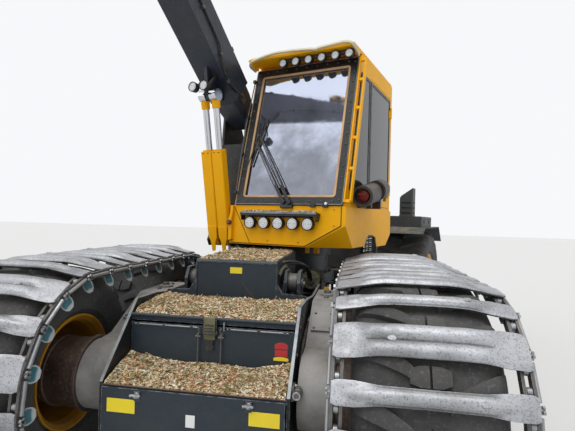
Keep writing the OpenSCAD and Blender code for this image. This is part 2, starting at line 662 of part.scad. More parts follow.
// Jib: a tube with its foot eye and the tail lugs for its cylinder
module jib() color(slate) on_upper() translate([crane_x, 0, 0]) raised(jib_pin, jib_e) {
  tail = [-tail_r * cos(tail_a), tail_r * sin(tail_a)];
  difference() {
    union() {
      box(-jib_w / 2, jib_w / 2, -jib_l, -110, -jib_h / 2, jib_h / 2);
      rod_x(190, -jib_w / 2, jib_w / 2, 0, 0);
      plate_x(-jib_w / 2, jib_w / 2, [[-130, -jib_h / 2], [40, -85], [80, 50], [-130, jib_h / 2]]);
      for (x = [-54, 36]) plate_x(x, x + 18, [[-120, 90], [tail[0] - 40, tail[1] + 50],
          [tail[0] + 25, tail[1] + 45], [tail[0] + 50, tail[1]],
        [tail[0] + 25, tail[1] - 45], [60, -70]]);
    }
    box(-jib_w / 2 + jib_t, jib_w / 2 - jib_t, -jib_l - 1, -200, -jib_h / 2 + jib_t, jib_h / 2 - jib_t);
    rod_x(pin_d + 0.2, -200, 200, 0, 0);
  }
  // Slide pads that carry the extension at the mouth
  for (y = [-jib_l, -jib_l + 500]) difference() {
    box(-jib_w / 2 + jib_t - 1, jib_w / 2 - jib_t + 1, y, y + 120, -jib_h / 2 + jib_t - 1,
        jib_h / 2 - jib_t + 1);
    box(-jib_w / 2 + jib_t + gap - 0.3, jib_w / 2 - jib_t - gap + 0.3, y - 1, y + 121,
        -jib_h / 2 + jib_t + gap - 0.3, jib_h / 2 - jib_t - gap + 0.3);
  }
}

// Extension: slides in the jib, with a fork at its tip
module extension() color(steel) on_upper() translate([crane_x, 0, 0]) raised(jib_pin, jib_e) {
  c = jib_t + gap;
  box(-jib_w / 2 + c, jib_w / 2 - c, -jib_l - tip_out + 110, -260, -jib_h / 2 + c, jib_h / 2 - c);
  for (x = [-jib_w / 2 + c, jib_w / 2 - c - 20]) plate_x(x, x + 20,
      [[-jib_l - tip_out + 112, -jib_h / 2 + c + 20], [-jib_l - tip_out - 30, -50],
      [-jib_l - tip_out - 55, 0], [-jib_l - tip_out - 30, 50],
      [-jib_l - tip_out + 112, jib_h / 2 - c - 20]]);
  rod_x(50, -jib_w / 2 + c + 1, jib_w / 2 - c - 1, -jib_l - tip_out, 0);
}

// Swing link between the tip and the rotator
module swing_link() color(dark) on_upper() translate([crane_x, hang_y, 0]) {
  difference() {
    union() {
      plate_x(-45, 45, [[-45, hang_z + 20], [0, hang_z + 48], [45, hang_z + 20], [50, rot_z + 70],
          [-50, rot_z + 70]]);
      plate_y(-50, 50, [[-45, rot_z + 72], [45, rot_z + 72], [42, rot_z - 20], [0, rot_z - 45],
          [-42, rot_z - 20]]);
    }
    rod_x(50.2, -60, 60, 0, hang_z);
    rod_y(50.2, 0, -60, 60, rot_z);
  }
}

module rotator() color(dark) on_upper() translate([crane_x, hang_y, 0]) {
  for (y = [-86, 56]) plate_y(y, y + 30, [[-60, rot_z - 120], [-60, rot_z + 10], [-25, rot_z + 50],
      [25, rot_z + 50], [60, rot_z + 10], [60, rot_z - 120]]);
  rod_y(50, 0, -85, 85, rot_z);
  rod_z(250, 0, 0, rot_z - 150, rot_z - 118);
  rod_z(190, 0, 0, disc_z + 40, rot_z - 149);
  rod_z(270, 0, 0, disc_z + 0.3, disc_z + 41);
}

// Bracket under the rotator in which the head tilts
module tilt_bracket() color(slate) on_upper() translate([crane_x, hang_y, 0]) {
  rod_z(270, 0, 0, disc_z - 40, disc_z);
  box(-head_w / 2 - 50, head_w / 2 + 50, -110, 110, disc_z - 90, disc_z - 39);
  both() plate_x(head_w / 2 + gap, head_w / 2 + 50, [[-110, disc_z - 60], [110, disc_z - 60],
      [90, tilt_z - 20], [40, tilt_z - 75], [-40, tilt_z - 75], [-90, tilt_z - 20]]);
  both() rod_x(90, head_w / 2 - 30, head_w / 2 + 30, 0, tilt_z);
}

knife_y = -440;
saw_y = head_l / 2 + 60;
// Frame of the harvester head: spine over the stem, arm pivots and the saw's housing
module head_frame() color(paint) on_upper() translate([crane_x, hang_y, head_z]) {
  difference() {
    union() {
      plate_x(-head_w / 2, head_w / 2, [[-head_l / 2, -40], [-head_l / 2 + 150, 90],
          [head_l / 2 - 200, 110], [head_l / 2, 40], [head_l / 2, -260], [-head_l / 2, -220]]);
      both() plate_x(head_w / 2 - 50, head_w / 2, [[-200, 60], [-60, 340], [0, 372], [60, 340], [200, 60]]);
    }
    both() rod_x(92, head_w / 2 - 60, head_w / 2 + 20, 0, tilt_z - head_z);
    box(-head_w / 2 + 70, head_w / 2 - 70, -head_l / 2 - 1, head_l / 2 + 1, -300, -160);
  }
  // Saw housing, open towards the stem
  difference() {
    box(60, 330, head_l / 2 - 1, head_l / 2 + 120, -640, 30);
    box(59, 310, head_l / 2 + 20, head_l / 2 + 100, -650, -140);
  }
  box(-head_w / 2, 62, head_l / 2 - 1, head_l / 2 + 20, -240, 30);
  rod_y(50, 270, head_l / 2 + 19, head_l / 2 + 101, -190);
  // Pins of the knives and of the roller arms
  both() rod_y(50, head_w / 2 - 50, -head_l / 2 - 150, -head_l / 2 + 30, -170);
  both() rod_y(56, head_w / 2 + 50, -180, 180, -200);
  both() for (y = [-180, 150]) box(head_w / 2 - 2, head_w / 2 + 84, y, y + 30, -235, -165);
}

// Curved delimbing knife, side +1 or -1, its pin along Y
module knife(side, y0) translate([crane_x, hang_y, head_z]) mirror([side < 0 ? 1 : 0, 0, 0]) difference() {
  plate_y(y0, y0 + 50, [[head_w / 2 - 95, -130], [head_w / 2 - 10, -110], [head_w / 2 + 120, -200],
      [head_w / 2 + 190, -350], [head_w / 2 + 165, -500], [head_w / 2 + 90, -620],
    [head_w / 2 + 60, -610], [head_w / 2 + 108, -490], [head_w / 2 + 110, -370], [head_w / 2 + 40, -260],
        [head_w / 2 - 60, -220], [head_w / 2 - 100, -170]]);
  rod_y(50.2, head_w / 2 - 50, y0 - 1, y0 + 51, -170);
}
module knife_left() color(steel) on_upper() knife(1, -head_l / 2 - 70);
module knife_right() color(steel) on_upper() knife(-1, -head_l / 2 - 140);

// Feed roller arm: carries the roller from above and below
feed_x = head_w / 2 + 200;
module feed_arm() difference() {
  plate_y(-140, 140, [[head_w / 2 + 14, -158], [head_w / 2 + 90, -158], [feed_x + 130, -270],
      [feed_x + 130, -310],
    [feed_x - 60, -310], [head_w / 2 + 22, -240]]);
  rod_y(56.2, head_w / 2 + 50, -150, 150, -200);
}
module arm_left() color(slate) on_upper() translate([crane_x, hang_y, head_z]) { feed_arm();
    rod_z(118, feed_x, 6, -331.7, -295); }
module arm_right() color(slate) on_upper() translate([crane_x, hang_y, head_z])
    mirror([1, 0, 0]) { feed_arm(); rod_z(118, feed_x, 6, -331.7, -295); }

// Feed roller with its ribs
module feed_roller() {
  rod_z(feed_d - 50, feed_x, 0, -332 - feed_h, -332);
  for (a = [0 : 24 : 359]) translate([feed_x, 0, -332 - feed_h]) rotate([0, 0, a])
      translate([feed_d / 2 - 30, -10, 10]) cube([30, 20, feed_h - 20]);
}
module feed_left() color(steel) on_upper() translate([crane_x, hang_y, head_z]) feed_roller();
module feed_right() color(steel) on_upper() translate([crane_x, hang_y, head_z]) mirror([1, 0, 0])
    feed_roller();

// Saw bar on its pivot, drawn in along the housing
module saw_bar() color(steel) on_upper() translate([crane_x, hang_y, head_z]) difference() {
  union() {
    plate_y(head_l / 2 + 52, head_l / 2 + 62, [[238, -175], [300, -175], [304, -580], [270, -622],
        [236, -580]]);
    rod_y(70, 270, head_l / 2 + 52, head_l / 2 + 62, -190);
  }
  rod_y(50.4, 270, head_l / 2 + 40, head_l / 2 + 70, -190);
}

// Rear frame: boss of the frame joint, side beams, cross members, axle and tow jaw
module rear_frame() color(slate) on_rear() {
  difference() {
    union() {
      rod_z(300, 0, 0, 656, 944);
      plate_x(-140, 140, [[20, 656], [20, 944], [330, 944], [520, 1000], [520, 600], [330, 656]]);
      both() box(230, 320, 500, 2620, 600, 1000);
      for (y = [500, 1450, 2540]) box(-320, 320, y, y + 80, 620, 980);
      box(-420, 420, 2600, 2660, 520, 1010);
    }
    rod_z(121, 0, 0, 640, 960);
  }
  both() for (z = [718, 857]) box(139, 455, steer_eye[1] - 50, steer_eye[1] + 50, z, z + 25);
  // Axle with its hubs
  rod_x(300, -700, 700, rear_axle_y, rear_tyre_r);
  box(-330, 330, rear_axle_y - 170, rear_axle_y + 170, rear_tyre_r - 200, rear_tyre_r + 190);
  both() rod_x(380, 690, 900, rear_axle_y, rear_tyre_r);
  both() rod_x(2 * hub_bore - 0.6, 899, half_gauge + 66, rear_axle_y, rear_tyre_r);
  // Tow jaw
  difference() {
    for (z = [600, 700]) box(-70, 70, 2655, 2790, z, z + 30);
    rod_z(51, 0, 2740, 590, 740);
  }
  for (x = [-300, 300]) {
    rod_x(12, x - 57, x + 57, hood_pin[0], hood_pin[1]);
    for (e = [x - 58, x + 50.4])
        box(e, e + 7.6, hood_pin[0] - 12, hood_pin[0] + 12, 1009, hood_pin[1] + 10);
  }
}

module engine() color(dark) on_rear() {
  box(-330, 330, 1250, 2150, 1000.2, 1620);
}

// Hood over the engine, its walls open below and towards the grille
hood_y0 = 880;
hood_y1 = 2600;
hood_w = 620;
hood_pin = [2616, 1030];
module hood() color(dark) on_rear() {
  hood_box();
  for (x = [-300, 300]) difference() {
    union() {
      rod_x(24, x - 48, x + 48, hood_pin[0], hood_pin[1]);
      box(x - 48, x + 48, hood_y1 - 3, hood_pin[0] - 6, hood_pin[1] - 6, hood_pin[1] + 8);
    }
    rod_x(12.4, x - 49, x + 49, hood_pin[0], hood_pin[1]);
  }
}
module hood_box() difference() {
  plate_x(-hood_w, hood_w, [[hood_y0, 1020], [hood_y0, 1640], [hood_y0 + 300, 1800],
      [hood_y1 - 300, 1800], [hood_y1, 1560], [hood_y1, 1020]]);
  plate_x(-hood_w + 6, hood_w - 6, [[hood_y0 + 6, 1000], [hood_y0 + 6, 1636], [hood_y0 + 302, 1794],
      [hood_y1 - 303, 1794], [hood_y1 - 6, 1557], [hood_y1 - 6, 1000]]);
  box(-430, 430, hood_y1 - 10, hood_y1 + 10, 1060, 1500);
  for (z = [1250 : 60 : 1500], x = [-hood_w, hood_w]) box(x - 10, x + 10, 1200, 1700, z, z + 30);
}

module grille() color(dark) on_rear() {
  difference() {
    box(-424, 424, hood_y1 - 40, hood_y1 - 12, 1000, 1510);
    box(-390, 390, hood_y1 - 41, hood_y1 - 11, 1070, 1470);
  }
  for (x = [-360 : 60 : 360]) box(x - 6, x + 6, hood_y1 - 34, hood_y1 - 20, 1069, 1471);
}

// Air intake stack with a slanted top, on the box over the left fender
module stack() color(dark) on_rear() {
  plate_y(1100, 1280, [[1170, 1790.2], [1170, 2050], [1190, 2080], [1350, 2190], [1350, 1790.2]]);
}

module tanks() color(dark) on_rear() both() box(320, 640, 620, 1000, 640, 1010);

// Fenders over the rear wheels with boxes on top
module fenders() color(slate) on_rear() both() {
  plate_x(820, 1560, [[700, 1560], [900, 1640], [rear_axle_y + 500, 1640], [rear_axle_y + 760, 1420],
      [rear_axle_y + 752, 1412], [rear_axle_y + 497, 1630], [902, 1630], [704, 1551]]);
  box(960, 1480, 1080, 1900, 1639, 1790);
  for (y = [1100, 1900]) {
    box(320, 830, y, y + 50, 900, 970);
    box(790, 830, y, y + 50, 969, 1640);
  }
}

// A pair of lugs is set in turn along the tread, each slanting to the shoulder
module lugs(r, w) for (i = [0 : lug_pairs - 1]) both() rotate([i * 360 / lug_pairs, 0, 0])
    translate([0, 0, r - lug_h - 16])
  linear_extrude(lug_h + 16) polygon([[10, -20], [10, 30], [w * 0.26, 105], [w * 0.47, 105],
      [w * 0.47, 50], [w * 0.28, 45]]);

module rear_tyre() translate([half_gauge, rear_axle_y, rear_tyre_r]) {
  carcass(rear_tyre_r - lug_h, rear_tyre_w, rear_rim_r);
  lugs(rear_tyre_r, rear_tyre_w);
}

module rear_rim_left() color(dark) on_rear() translate([half_gauge, rear_axle_y, rear_tyre_r])
    rim(rear_rim_r, rear_tyre_w * 0.86, 40);
module rear_rim_right() color(dark) on_rear() mirror([1, 0, 0])
    translate([half_gauge, rear_axle_y, rear_tyre_r]) rim(rear_rim_r, rear_tyre_w * 0.86, 40);
module rear_tyre_left() color(rubber) on_rear() rear_tyre();
module rear_tyre_right() color(rubber) on_rear() mirror([1, 0, 0]) rear_tyre();

// Steering cylinders from lugs on the front frame to lugs on the rear frame
steer_foot = [440, -780];
steer_eye = [400, 380];
steer_barrel_l = 765;
steer_rod_l = 720;
function turned(p, a) = [p[0] * cos(a) + p[1] * sin(a), -p[0] * sin(a) + p[1] * cos(a)];
module steer_part(side, barrel) placed() {
  f = [side * steer_foot[0], steer_y + steer_foot[1]];
  t = turned([side * steer_eye[0], steer_eye[1]], rest_steer);
  e = [t[0], steer_y + t[1]];
  l = norm(e - f);
  translate([f[0], f[1], 800]) rotate([0, 0, atan2(e[1] - f[1], e[0] - f[0])]) {
    if (barrel) difference() {
      union() {
        rod_z(110, 0, 0, -40, 40);
        rod_x(100, 50, steer_barrel_l, 0, 0);
      }
      rod_z(50.2, 0, 0, -50, 50);
      rod_x(52, 105, steer_barrel_l + 1, 0, 0);
    }
    else {
      rod_x(50, l - steer_rod_l, l - 40, 0, 0);
      rod_z(100, l, 0, -50, 50);
    }
  }
}
module steer_barrel_left() color(paint) steer_part(1, true);
module steer_rod_left() color(steel) steer_part(1, false);
module steer_barrel_right() color(paint) steer_part(-1, true);
module steer_rod_right() color(steel) steer_part(-1, false);

front_frame();
step_box();
step_sides();
rear_box();
lower_lid();
upper_lid();
pendulum_arms();
pendulum_cylinders();
bogie_cases();
front_rims();
front_tyres();
track_left();
track_right();
slew_deck();
skirt();
cab_shell();
cab_roof();
screen_frame();
cab_glass();
cab_door();
door_glass();
lamps();
seat();
console();
extinguishers();
crane_pillar();
lift_barrels();
lift_rods();
boom();
jib_barrel();
jib_rod();
jib();
extension();
swing_link();
rotator();
tilt_bracket();
head_frame();
knife_left();
knife_right();
arm_left();
arm_right();
feed_left();
feed_right();
saw_bar();
rear_frame();
engine();
hood();
grille();
stack();
tanks();
fenders();
rear_rim_left();
rear_rim_right();
rear_tyre_left();
rear_tyre_right();
steer_barrel_left();
steer_rod_left();
steer_barrel_right();
steer_rod_right();
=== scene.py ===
"""Looks of a wheeled forestry harvester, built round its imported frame.

Every piece is worked out in metres in one of the machine's own frames: the front frame, the
slewing upper structure, the rear frame, the boom, the jib or the head.
"""

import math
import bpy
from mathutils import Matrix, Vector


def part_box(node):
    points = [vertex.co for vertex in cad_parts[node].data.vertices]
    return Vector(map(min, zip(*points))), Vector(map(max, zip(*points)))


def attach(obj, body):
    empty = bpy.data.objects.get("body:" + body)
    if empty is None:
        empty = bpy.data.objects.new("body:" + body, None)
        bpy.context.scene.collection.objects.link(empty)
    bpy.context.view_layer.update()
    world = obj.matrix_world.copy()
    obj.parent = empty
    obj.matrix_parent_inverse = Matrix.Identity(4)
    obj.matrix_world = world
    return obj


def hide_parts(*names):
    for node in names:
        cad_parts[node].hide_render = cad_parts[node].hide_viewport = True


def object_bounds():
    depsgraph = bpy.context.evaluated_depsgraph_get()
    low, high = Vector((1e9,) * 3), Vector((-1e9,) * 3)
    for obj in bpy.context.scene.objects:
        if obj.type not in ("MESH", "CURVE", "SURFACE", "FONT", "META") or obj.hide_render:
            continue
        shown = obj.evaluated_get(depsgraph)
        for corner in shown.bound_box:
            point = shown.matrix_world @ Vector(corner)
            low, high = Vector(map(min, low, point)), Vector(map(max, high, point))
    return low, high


bl_info = {
    "name": "Forestry harvester finish",
    "version": (1, 0, 0),
    "blender": (4, 5, 0),
    "location": "View3D > Sidebar > Harvester",
    "description": "Adds tracks, tyres, litter, fittings and finishes to a wheeled forestry harvester",
    "category": "Add Mesh",
}

import bpy
import numpy as np
from mathutils import Matrix

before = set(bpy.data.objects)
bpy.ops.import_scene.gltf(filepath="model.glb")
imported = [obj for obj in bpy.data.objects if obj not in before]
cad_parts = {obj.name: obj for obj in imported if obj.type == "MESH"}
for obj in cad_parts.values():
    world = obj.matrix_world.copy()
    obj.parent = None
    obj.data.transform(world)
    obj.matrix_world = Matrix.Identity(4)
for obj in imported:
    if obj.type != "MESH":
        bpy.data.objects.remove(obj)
CAD_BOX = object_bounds()


# Frames of the machine


def shift(x, y, z):
    """Matrix that moves by x, y, z."""
    matrix = np.eye(4)
    matrix[:3, 3] = x, y, z
    return matrix


def turn(axis, degrees):
    """Matrix that turns about the x, y or z axis by the right-hand rule."""
    first, second = {"x": (1, 2), "y": (2, 0), "z": (0, 1)}[axis]
    matrix = np.eye(4)
    angle = math.radians(degrees)
    matrix[first, first] = matrix[second, second] = math.cos(angle)
    matrix[second, first] = math.sin(angle)
    matrix[first, second] = -math.sin(angle)
    return matrix


def stretch(x, y, z):
    """Matrix that scales along the axes."""
    return np.diag([x, y, z, 1.0])


def along(pin, degrees, reach, rise):
    """Place as (y, z) on an arm that leaves its pin along -Y, raised by an angle."""
    c, s = math.cos(math.radians(degrees)), math.sin(math.radians(degrees))
    return pin[0] - reach * c + rise * s, pin[1] + reach * s + rise * c


RIM_LOW, RIM_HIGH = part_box("front_rims")
CHASSIS = shift((RIM_LOW[0] + RIM_HIGH[0]) / 2, (RIM_LOW[1] + RIM_HIGH[1]) / 2, 0)
REST_SLEW, REST_STEER, BOOM_RISE, REST_FOLD = 18, 18, 41, 108
UPPER = CHASSIS @ shift(0, 1.530, 0) @ turn("z", -REST_SLEW)
REAR = CHASSIS @ shift(0, 2.300, 0) @ turn("z", -REST_STEER)
CRANE_X = -0.270
BOOM_PIN = (-0.430, 2.770)
BOOM_L, JIB_L, TIP_OUT = 4.600, 2.500, 0.260
JIB_RISE = BOOM_RISE - REST_FOLD
JIB_PIN = along(BOOM_PIN, BOOM_RISE, BOOM_L, 0.070)
TIP = along(JIB_PIN, JIB_RISE, JIB_L + TIP_OUT, 0)
TILT_Z = TIP[1] - 0.230 - 0.330 - 0.190
BOOM = UPPER @ shift(CRANE_X, *BOOM_PIN) @ turn("x", -BOOM_RISE)
JIB = UPPER @ shift(CRANE_X, *JIB_PIN) @ turn("x", -JIB_RISE)
HEAD = UPPER @ shift(CRANE_X, TIP[0], TILT_Z - 0.300)

HALF_GAUGE, BOGIE_BASE, WHEEL_Z, LOOP_R = 1.197, 1.578, 0.706, 0.672
SHOES = 30
LINK_DROP = 0.052
REAR_DISC = HALF_GAUGE + 0.0665
LOOP_L = 2 * BOGIE_BASE + 2 * math.pi * LOOP_R
REAR_AXLE = (1.600, 0.800)
STEP1, STEP2, STEP3 = (-1.084, 0.762), (-0.770, 1.082), (-0.257, 1.398)
CASE_FACE, CASE_MIDDLE = 0.745, 0.655
CAB_SIDE = 1.0506


# Shapes, each a closed shell of points and faces


def quads(rows, columns, round_rows=False, round_columns=False):
    """Four-cornered faces between neighbours on a grid of points, joined round where asked."""
    r = np.arange(rows if round_rows else rows - 1)
    c = np.arange(columns if round_columns else columns - 1)
    r, c = np.meshgrid(r, c, indexing="ij")
    r2, c2 = (r + 1) % rows, (c + 1) % columns
    corners = [r * columns + c, r * columns + c2, r2 * columns + c2, r2 * columns + c]
    return np.stack(corners, -1).reshape(-1, 4)


def lathe(profile, sides=24):
    """A profile of (radius, height) pairs carried round the Z axis, with flat ends."""
    p = np.asarray(profile, float)
    a = np.linspace(0, 2 * np.pi, sides, endpoint=False)
    x, y = p[:, :1] * np.cos(a), p[:, :1] * np.sin(a)
    z = np.repeat(p[:, 1:2], sides, 1)
    rim = np.arange(sides)[None]
    faces = [quads(len(p), sides, round_columns=True), rim[:, ::-1], rim + (len(p) - 1) * sides]
    return np.stack([x, y, z], -1).reshape(-1, 3), faces


def ring(profile, sides=48):
    """A closed profile of (radius, height) pairs carried round the Z axis."""
    p = np.asarray(profile, float)
    a = np.linspace(0, 2 * np.pi, sides, endpoint=False)
    x, y = p[:, :1] * np.cos(a), p[:, :1] * np.sin(a)
    z = np.repeat(p[:, 1:2], sides, 1)
    return np.stack([x, y, z], -1).reshape(-1, 3), [quads(len(p), sides, True, True)]


def sweep(path, outline):
    """An outline of (side, up) pairs carried along a path, kept upright as far as it can."""
    p = np.asarray(path, float)
    o = np.asarray(outline, float)
    t = np.gradient(p, axis=0)
    t /= np.linalg.norm(t, axis=1, keepdims=True)
    side = np.cross(t[0], [0.0, 0.0, 1.0])
    if np.linalg.norm(side) < 0.2:
        side = np.cross(t[0], [0.0, 1.0, 0.0])
    sides = []
    for tangent in t:
        side = side - tangent * (side @ tangent)
        side = side / np.linalg.norm(side)
        sides.append(side)
    n = np.array(sides)
    b = np.cross(t, n)
    points = p[:, None] + n[:, None] * o[None, :, :1] + b[:, None] * o[None, :, 1:]
    k = len(o)
    rim = np.arange(k)[None]
    faces = [quads(len(p), k, round_columns=True), rim[:, ::-1], rim + (len(p) - 1) * k]
    return points.reshape(-1, 3), faces


def circle(radius, sides=10):
    """Outline of a circle as (side, up) pairs."""
    a = np.linspace(0, 2 * np.pi, sides, endpoint=False)
    return np.stack([radius * np.cos(a), radius * np.sin(a)], 1)


def smooth_path(points, steps=24):
    """A soft curve through the given points: Catmull-Rom between each pair."""
    p = np.asarray(points, float)
    p = np.vstack([2 * p[0] - p[1], p, 2 * p[-1] - p[-2]])
    t = np.linspace(0, len(p) - 3, steps)
    i = np.minimum(t.astype(int), len(p) - 4)
    f = (t - i)[:, None]
    a, b, c, d = p[i], p[i + 1], p[i + 2], p[i + 3]
    return 0.5 * (2 * b + (c - a) * f + (2 * a - 5 * b + 4 * c - d) * f**2 + (3 * b - a - 3 * c + d) * f**3)


def hose(points, radius, steps=24, sides=10):
    """A round hose on a soft curve through the given points."""
    return sweep(smooth_path(points, steps), circle(radius, sides))


def prism(axis, low, high, outline):
    """A flat outline carried straight along an axis, from low to high."""
    o = np.asarray(outline, float)
    k = len(o)
    ends = np.repeat([low, high], k)
    flat = np.vstack([o, o])
    columns = {"x": (ends, flat[:, 0], flat[:, 1]), "y": (flat[:, 0], ends, flat[:, 1])}
    columns["z"] = (flat[:, 0], flat[:, 1], ends)
    rim = np.arange(k)[None]
    faces = [quads(2, k, round_columns=True), rim[:, ::-1], rim + k]
    return np.stack(columns[axis], 1), faces


def block(x0, x1, y0, y1, z0, z1):
    """A box between two corners."""
    return prism("z", z0, z1, [(x0, y0), (x1, y0), (x1, y1), (x0, y1)])


def rod(axis, start, length, radius, sides=16, chamfer=0.0):
    """A round rod from a point along an axis, its edges cut back by the chamfer."""
    c = chamfer
    profile = [(radius - c, 0), (radius, c), (radius, length - c), (radius - c, length)]
    if c == 0:
        profile = [(radius, 0), (radius, length)]
    points, faces = lathe(profile, sides)
    aim = {"x": turn("y", 90), "y": turn("x", -90), "z": np.eye(4)}[axis]
    return moved(points, shift(*start) @ aim), faces


def nut(size, height):
    """A hexagon head with its top edge cut back, standing on the XY plane."""
    return lathe([(size, 0), (size, height * 0.7), (size * 0.82, height)], 6)


def slab(top, bottom):
    """A closed shell between an upper and a lower grid of points of the same shape."""
    n, m = top.shape[:2]
    index = np.arange(n * m).reshape(n, m)
    face = quads(n, m)
    border = np.concatenate([index[:, 0], index[-1, 1:], index[-2::-1, -1], index[0, -2:0:-1]])
    after = np.roll(border, -1)
    walls = np.stack([border, border + n * m, after + n * m, after], 1)
    points = np.concatenate([top.reshape(-1, 3), bottom.reshape(-1, 3)])
    return points, [face[:, ::-1], face + n * m, walls]


def moved(points, matrix):
    """Points carried by a matrix."""
    return points @ matrix[:3, :3].T + matrix[:3, 3]


def moved_shell(shell, matrix):
    """A shell carried by a matrix."""
    return moved(shell[0], matrix), shell[1]


def on_circle(radius, count, start=0.0):
    """Offsets evenly round a circle, the first a start, in steps, from the first axis."""
    angles = [2 * math.pi * (k + start) / count for k in range(count)]
    return [(radius * math.cos(a), radius * math.sin(a)) for a in angles]


def span(side, a, b):
    """Two distances from the middle, on one side of it, in rising order."""
    return sorted((side * a, side * b))


def strip(half, rise):
    """Outline of a flat strip as (side, up) pairs, from its half width and half thickness."""
    return [(-half, -rise), (half, -rise), (half, rise), (-half, rise)]


def on_side(x, out=1):
    """Frame of an upright side wall: its X runs to the rear, its Y up and its Z outwards."""
    return np.array([[0, 0, out, x], [1, 0, 0, 0], [0, 1, 0, 0], [0, 0, 0, 1]])


def on_end(y):
    """Frame of an upright end wall: its X runs across, its Y up and its Z to the rear."""
    return np.array([[1, 0, 0, 0], [0, 0, 1, y], [0, 1, 0, 0], [0, 0, 0, 1]])


def copies(shell, matrices):
    """The shell repeated at each matrix, as one shell."""
    points, faces = shell
    matrices = np.asarray(matrices)
    many = np.einsum("kij,nj->kni", matrices[:, :3, :3], points) + matrices[:, None, :3, 3]
    step = (np.arange(len(matrices)) * len(points))[:, None, None]
    grown = [(np.asarray(f)[None] + step).reshape(-1, f.shape[1]) for f in faces]
    return many.reshape(-1, 3), grown


def turned_by(angles_x, angles_y, angles_z):
    """Stack of turning matrices from arrays of angles in radians, x first and z last."""
    c, s = [np.cos(a) for a in (angles_x, angles_y,
                                angles_z)], [np.sin(a) for a in (angles_x, angles_y, angles_z)]
    zero, one = np.zeros_like(angles_x), np.ones_like(angles_x)
    rx = np.stack([one, zero, zero, zero, c[0], -s[0], zero, s[0], c[0]], -1).reshape(-1, 3, 3)
    ry = np.stack([c[1], zero, s[1], zero, one, zero, -s[1], zero, c[1]], -1).reshape(-1, 3, 3)
    rz = np.stack([c[2], -s[2], zero, s[2], c[2], zero, zero, zero, one], -1).reshape(-1, 3, 3)
    return rz @ ry @ rx


def waves(x, y, seed, scale, octaves=4):
    """Uneven surface from -1 to 1: sums of cosine waves in seeded directions, halved each octave."""
    rng = np.random.default_rng(seed)
    total, weight, size = 0.0, 1.0, scale
    for _ in range(octaves):
        for _ in range(3):
            a, phase = rng.uniform(0, 2 * np.pi, 2)
            total = total + weight * np.cos((x * np.cos(a) + y * np.sin(a)) * 2 * np.pi / size + phase) / 3
        weight, size = weight * 0.55, size * 0.47
    return total / 1.9


def outward(points, faces):
    """The faces, turned over if the shell's volume comes out negative."""
    middle = points.mean(0)
    volume = 0.0
    for face in faces:
        corner = points[face] - middle
        for k in range(1, face.shape[1] - 1):
            volume += np.einsum("ij,ij->", corner[:, 0], np.cross(corner[:, k], corner[:, k + 1]))
    return [f[:, ::-1] for f in faces] if volume < 0 else faces


class Piece:
    """Gathers shells with their finishes and makes them one named object."""

    def __init__(self, name, body, slot, place):
        self.name, self.body, self.slot, self.place = name, body, slot, place
        self.points, self.faces, self.finish_of, self.tints = [], [], [], []
        self.finishes, self.count = [], 0

    def add(self, shell, finish, place=None, tint=0.5):
        """Adds a shell, placed inside the piece's frame. Tint is one number or one for each point."""
        points, faces = shell
        points = moved(points, self.place if place is None else self.place @ place)
        if finish not in self.finishes:
            self.finishes.append(finish)
        for face in outward(points, faces):
            self.faces.append(face + self.count)
            self.finish_of.append(np.full(len(face), self.finishes.index(finish)))
        self.points.append(points)
        self.tints.append(np.broadcast_to(np.asarray(tint, float), (len(points),)))
        self.count += len(points)
        return self

    def bolt(self, place, size, height, finish="steel_dirty"):
        """Adds a hexagon head."""
        return self.add(moved_shell(nut(size, height), place), finish)

    def make(self, sharp=38, bevel=0.0, replaces=()):
        """Makes the mesh and its object, and ties it to its body."""
        mesh = bpy.data.meshes.new(self.name)
        sizes = np.concatenate([np.full(len(f), f.shape[1]) for f in self.faces])
        loops = np.concatenate([f.ravel() for f in self.faces]).astype(np.int32)
        mesh.vertices.add(self.count)
        mesh.vertices.foreach_set("co", np.concatenate(self.points).astype(np.float32).ravel())
        mesh.loops.add(len(loops))
        mesh.loops.foreach_set("vertex_index", loops)
        mesh.polygons.add(len(sizes))
        mesh.polygons.foreach_set("loop_start", np.concatenate([[0], np.cumsum(sizes)[:-1]]).astype(np.int32))
        mesh.polygons.foreach_set("material_index", np.concatenate(self.finish_of).astype(np.int32))
        mesh.polygons.foreach_set("use_smooth", np.ones(len(sizes), bool))
        mesh.update(calc_edges=True)
        tint = mesh.attributes.new("tint", "FLOAT", "POINT")
        tint.data.foreach_set("value", np.concatenate(self.tints).astype(np.float32))
        mesh.set_sharp_from_angle(angle=math.radians(sharp))
        for name in self.finishes:
            mesh.materials.append(finish(name))
        piece = bpy.data.objects.new(self.name, mesh)
        bpy.context.scene.collection.objects.link(piece)
        if bevel:
            edge = piece.modifiers.new("Edges", "BEVEL")
            edge.width = bevel
            edge.segments = 1
            edge.limit_method = "ANGLE"
            edge.angle_limit = math.radians(45)
        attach(piece, self.body)
        if replaces:
            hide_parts(*replaces)
        return piece


# Finishes


def srgb(r, g, b):
    """Colour written as 0 to 255, as linear red, green, blue and alpha."""
    def linear(v):
        v = v / 255
        return v / 12.92 if v <= 0.04045 else ((v + 0.055) / 1.055) ** 2.4
    return linear(r), linear(g), linear(b), 1.0


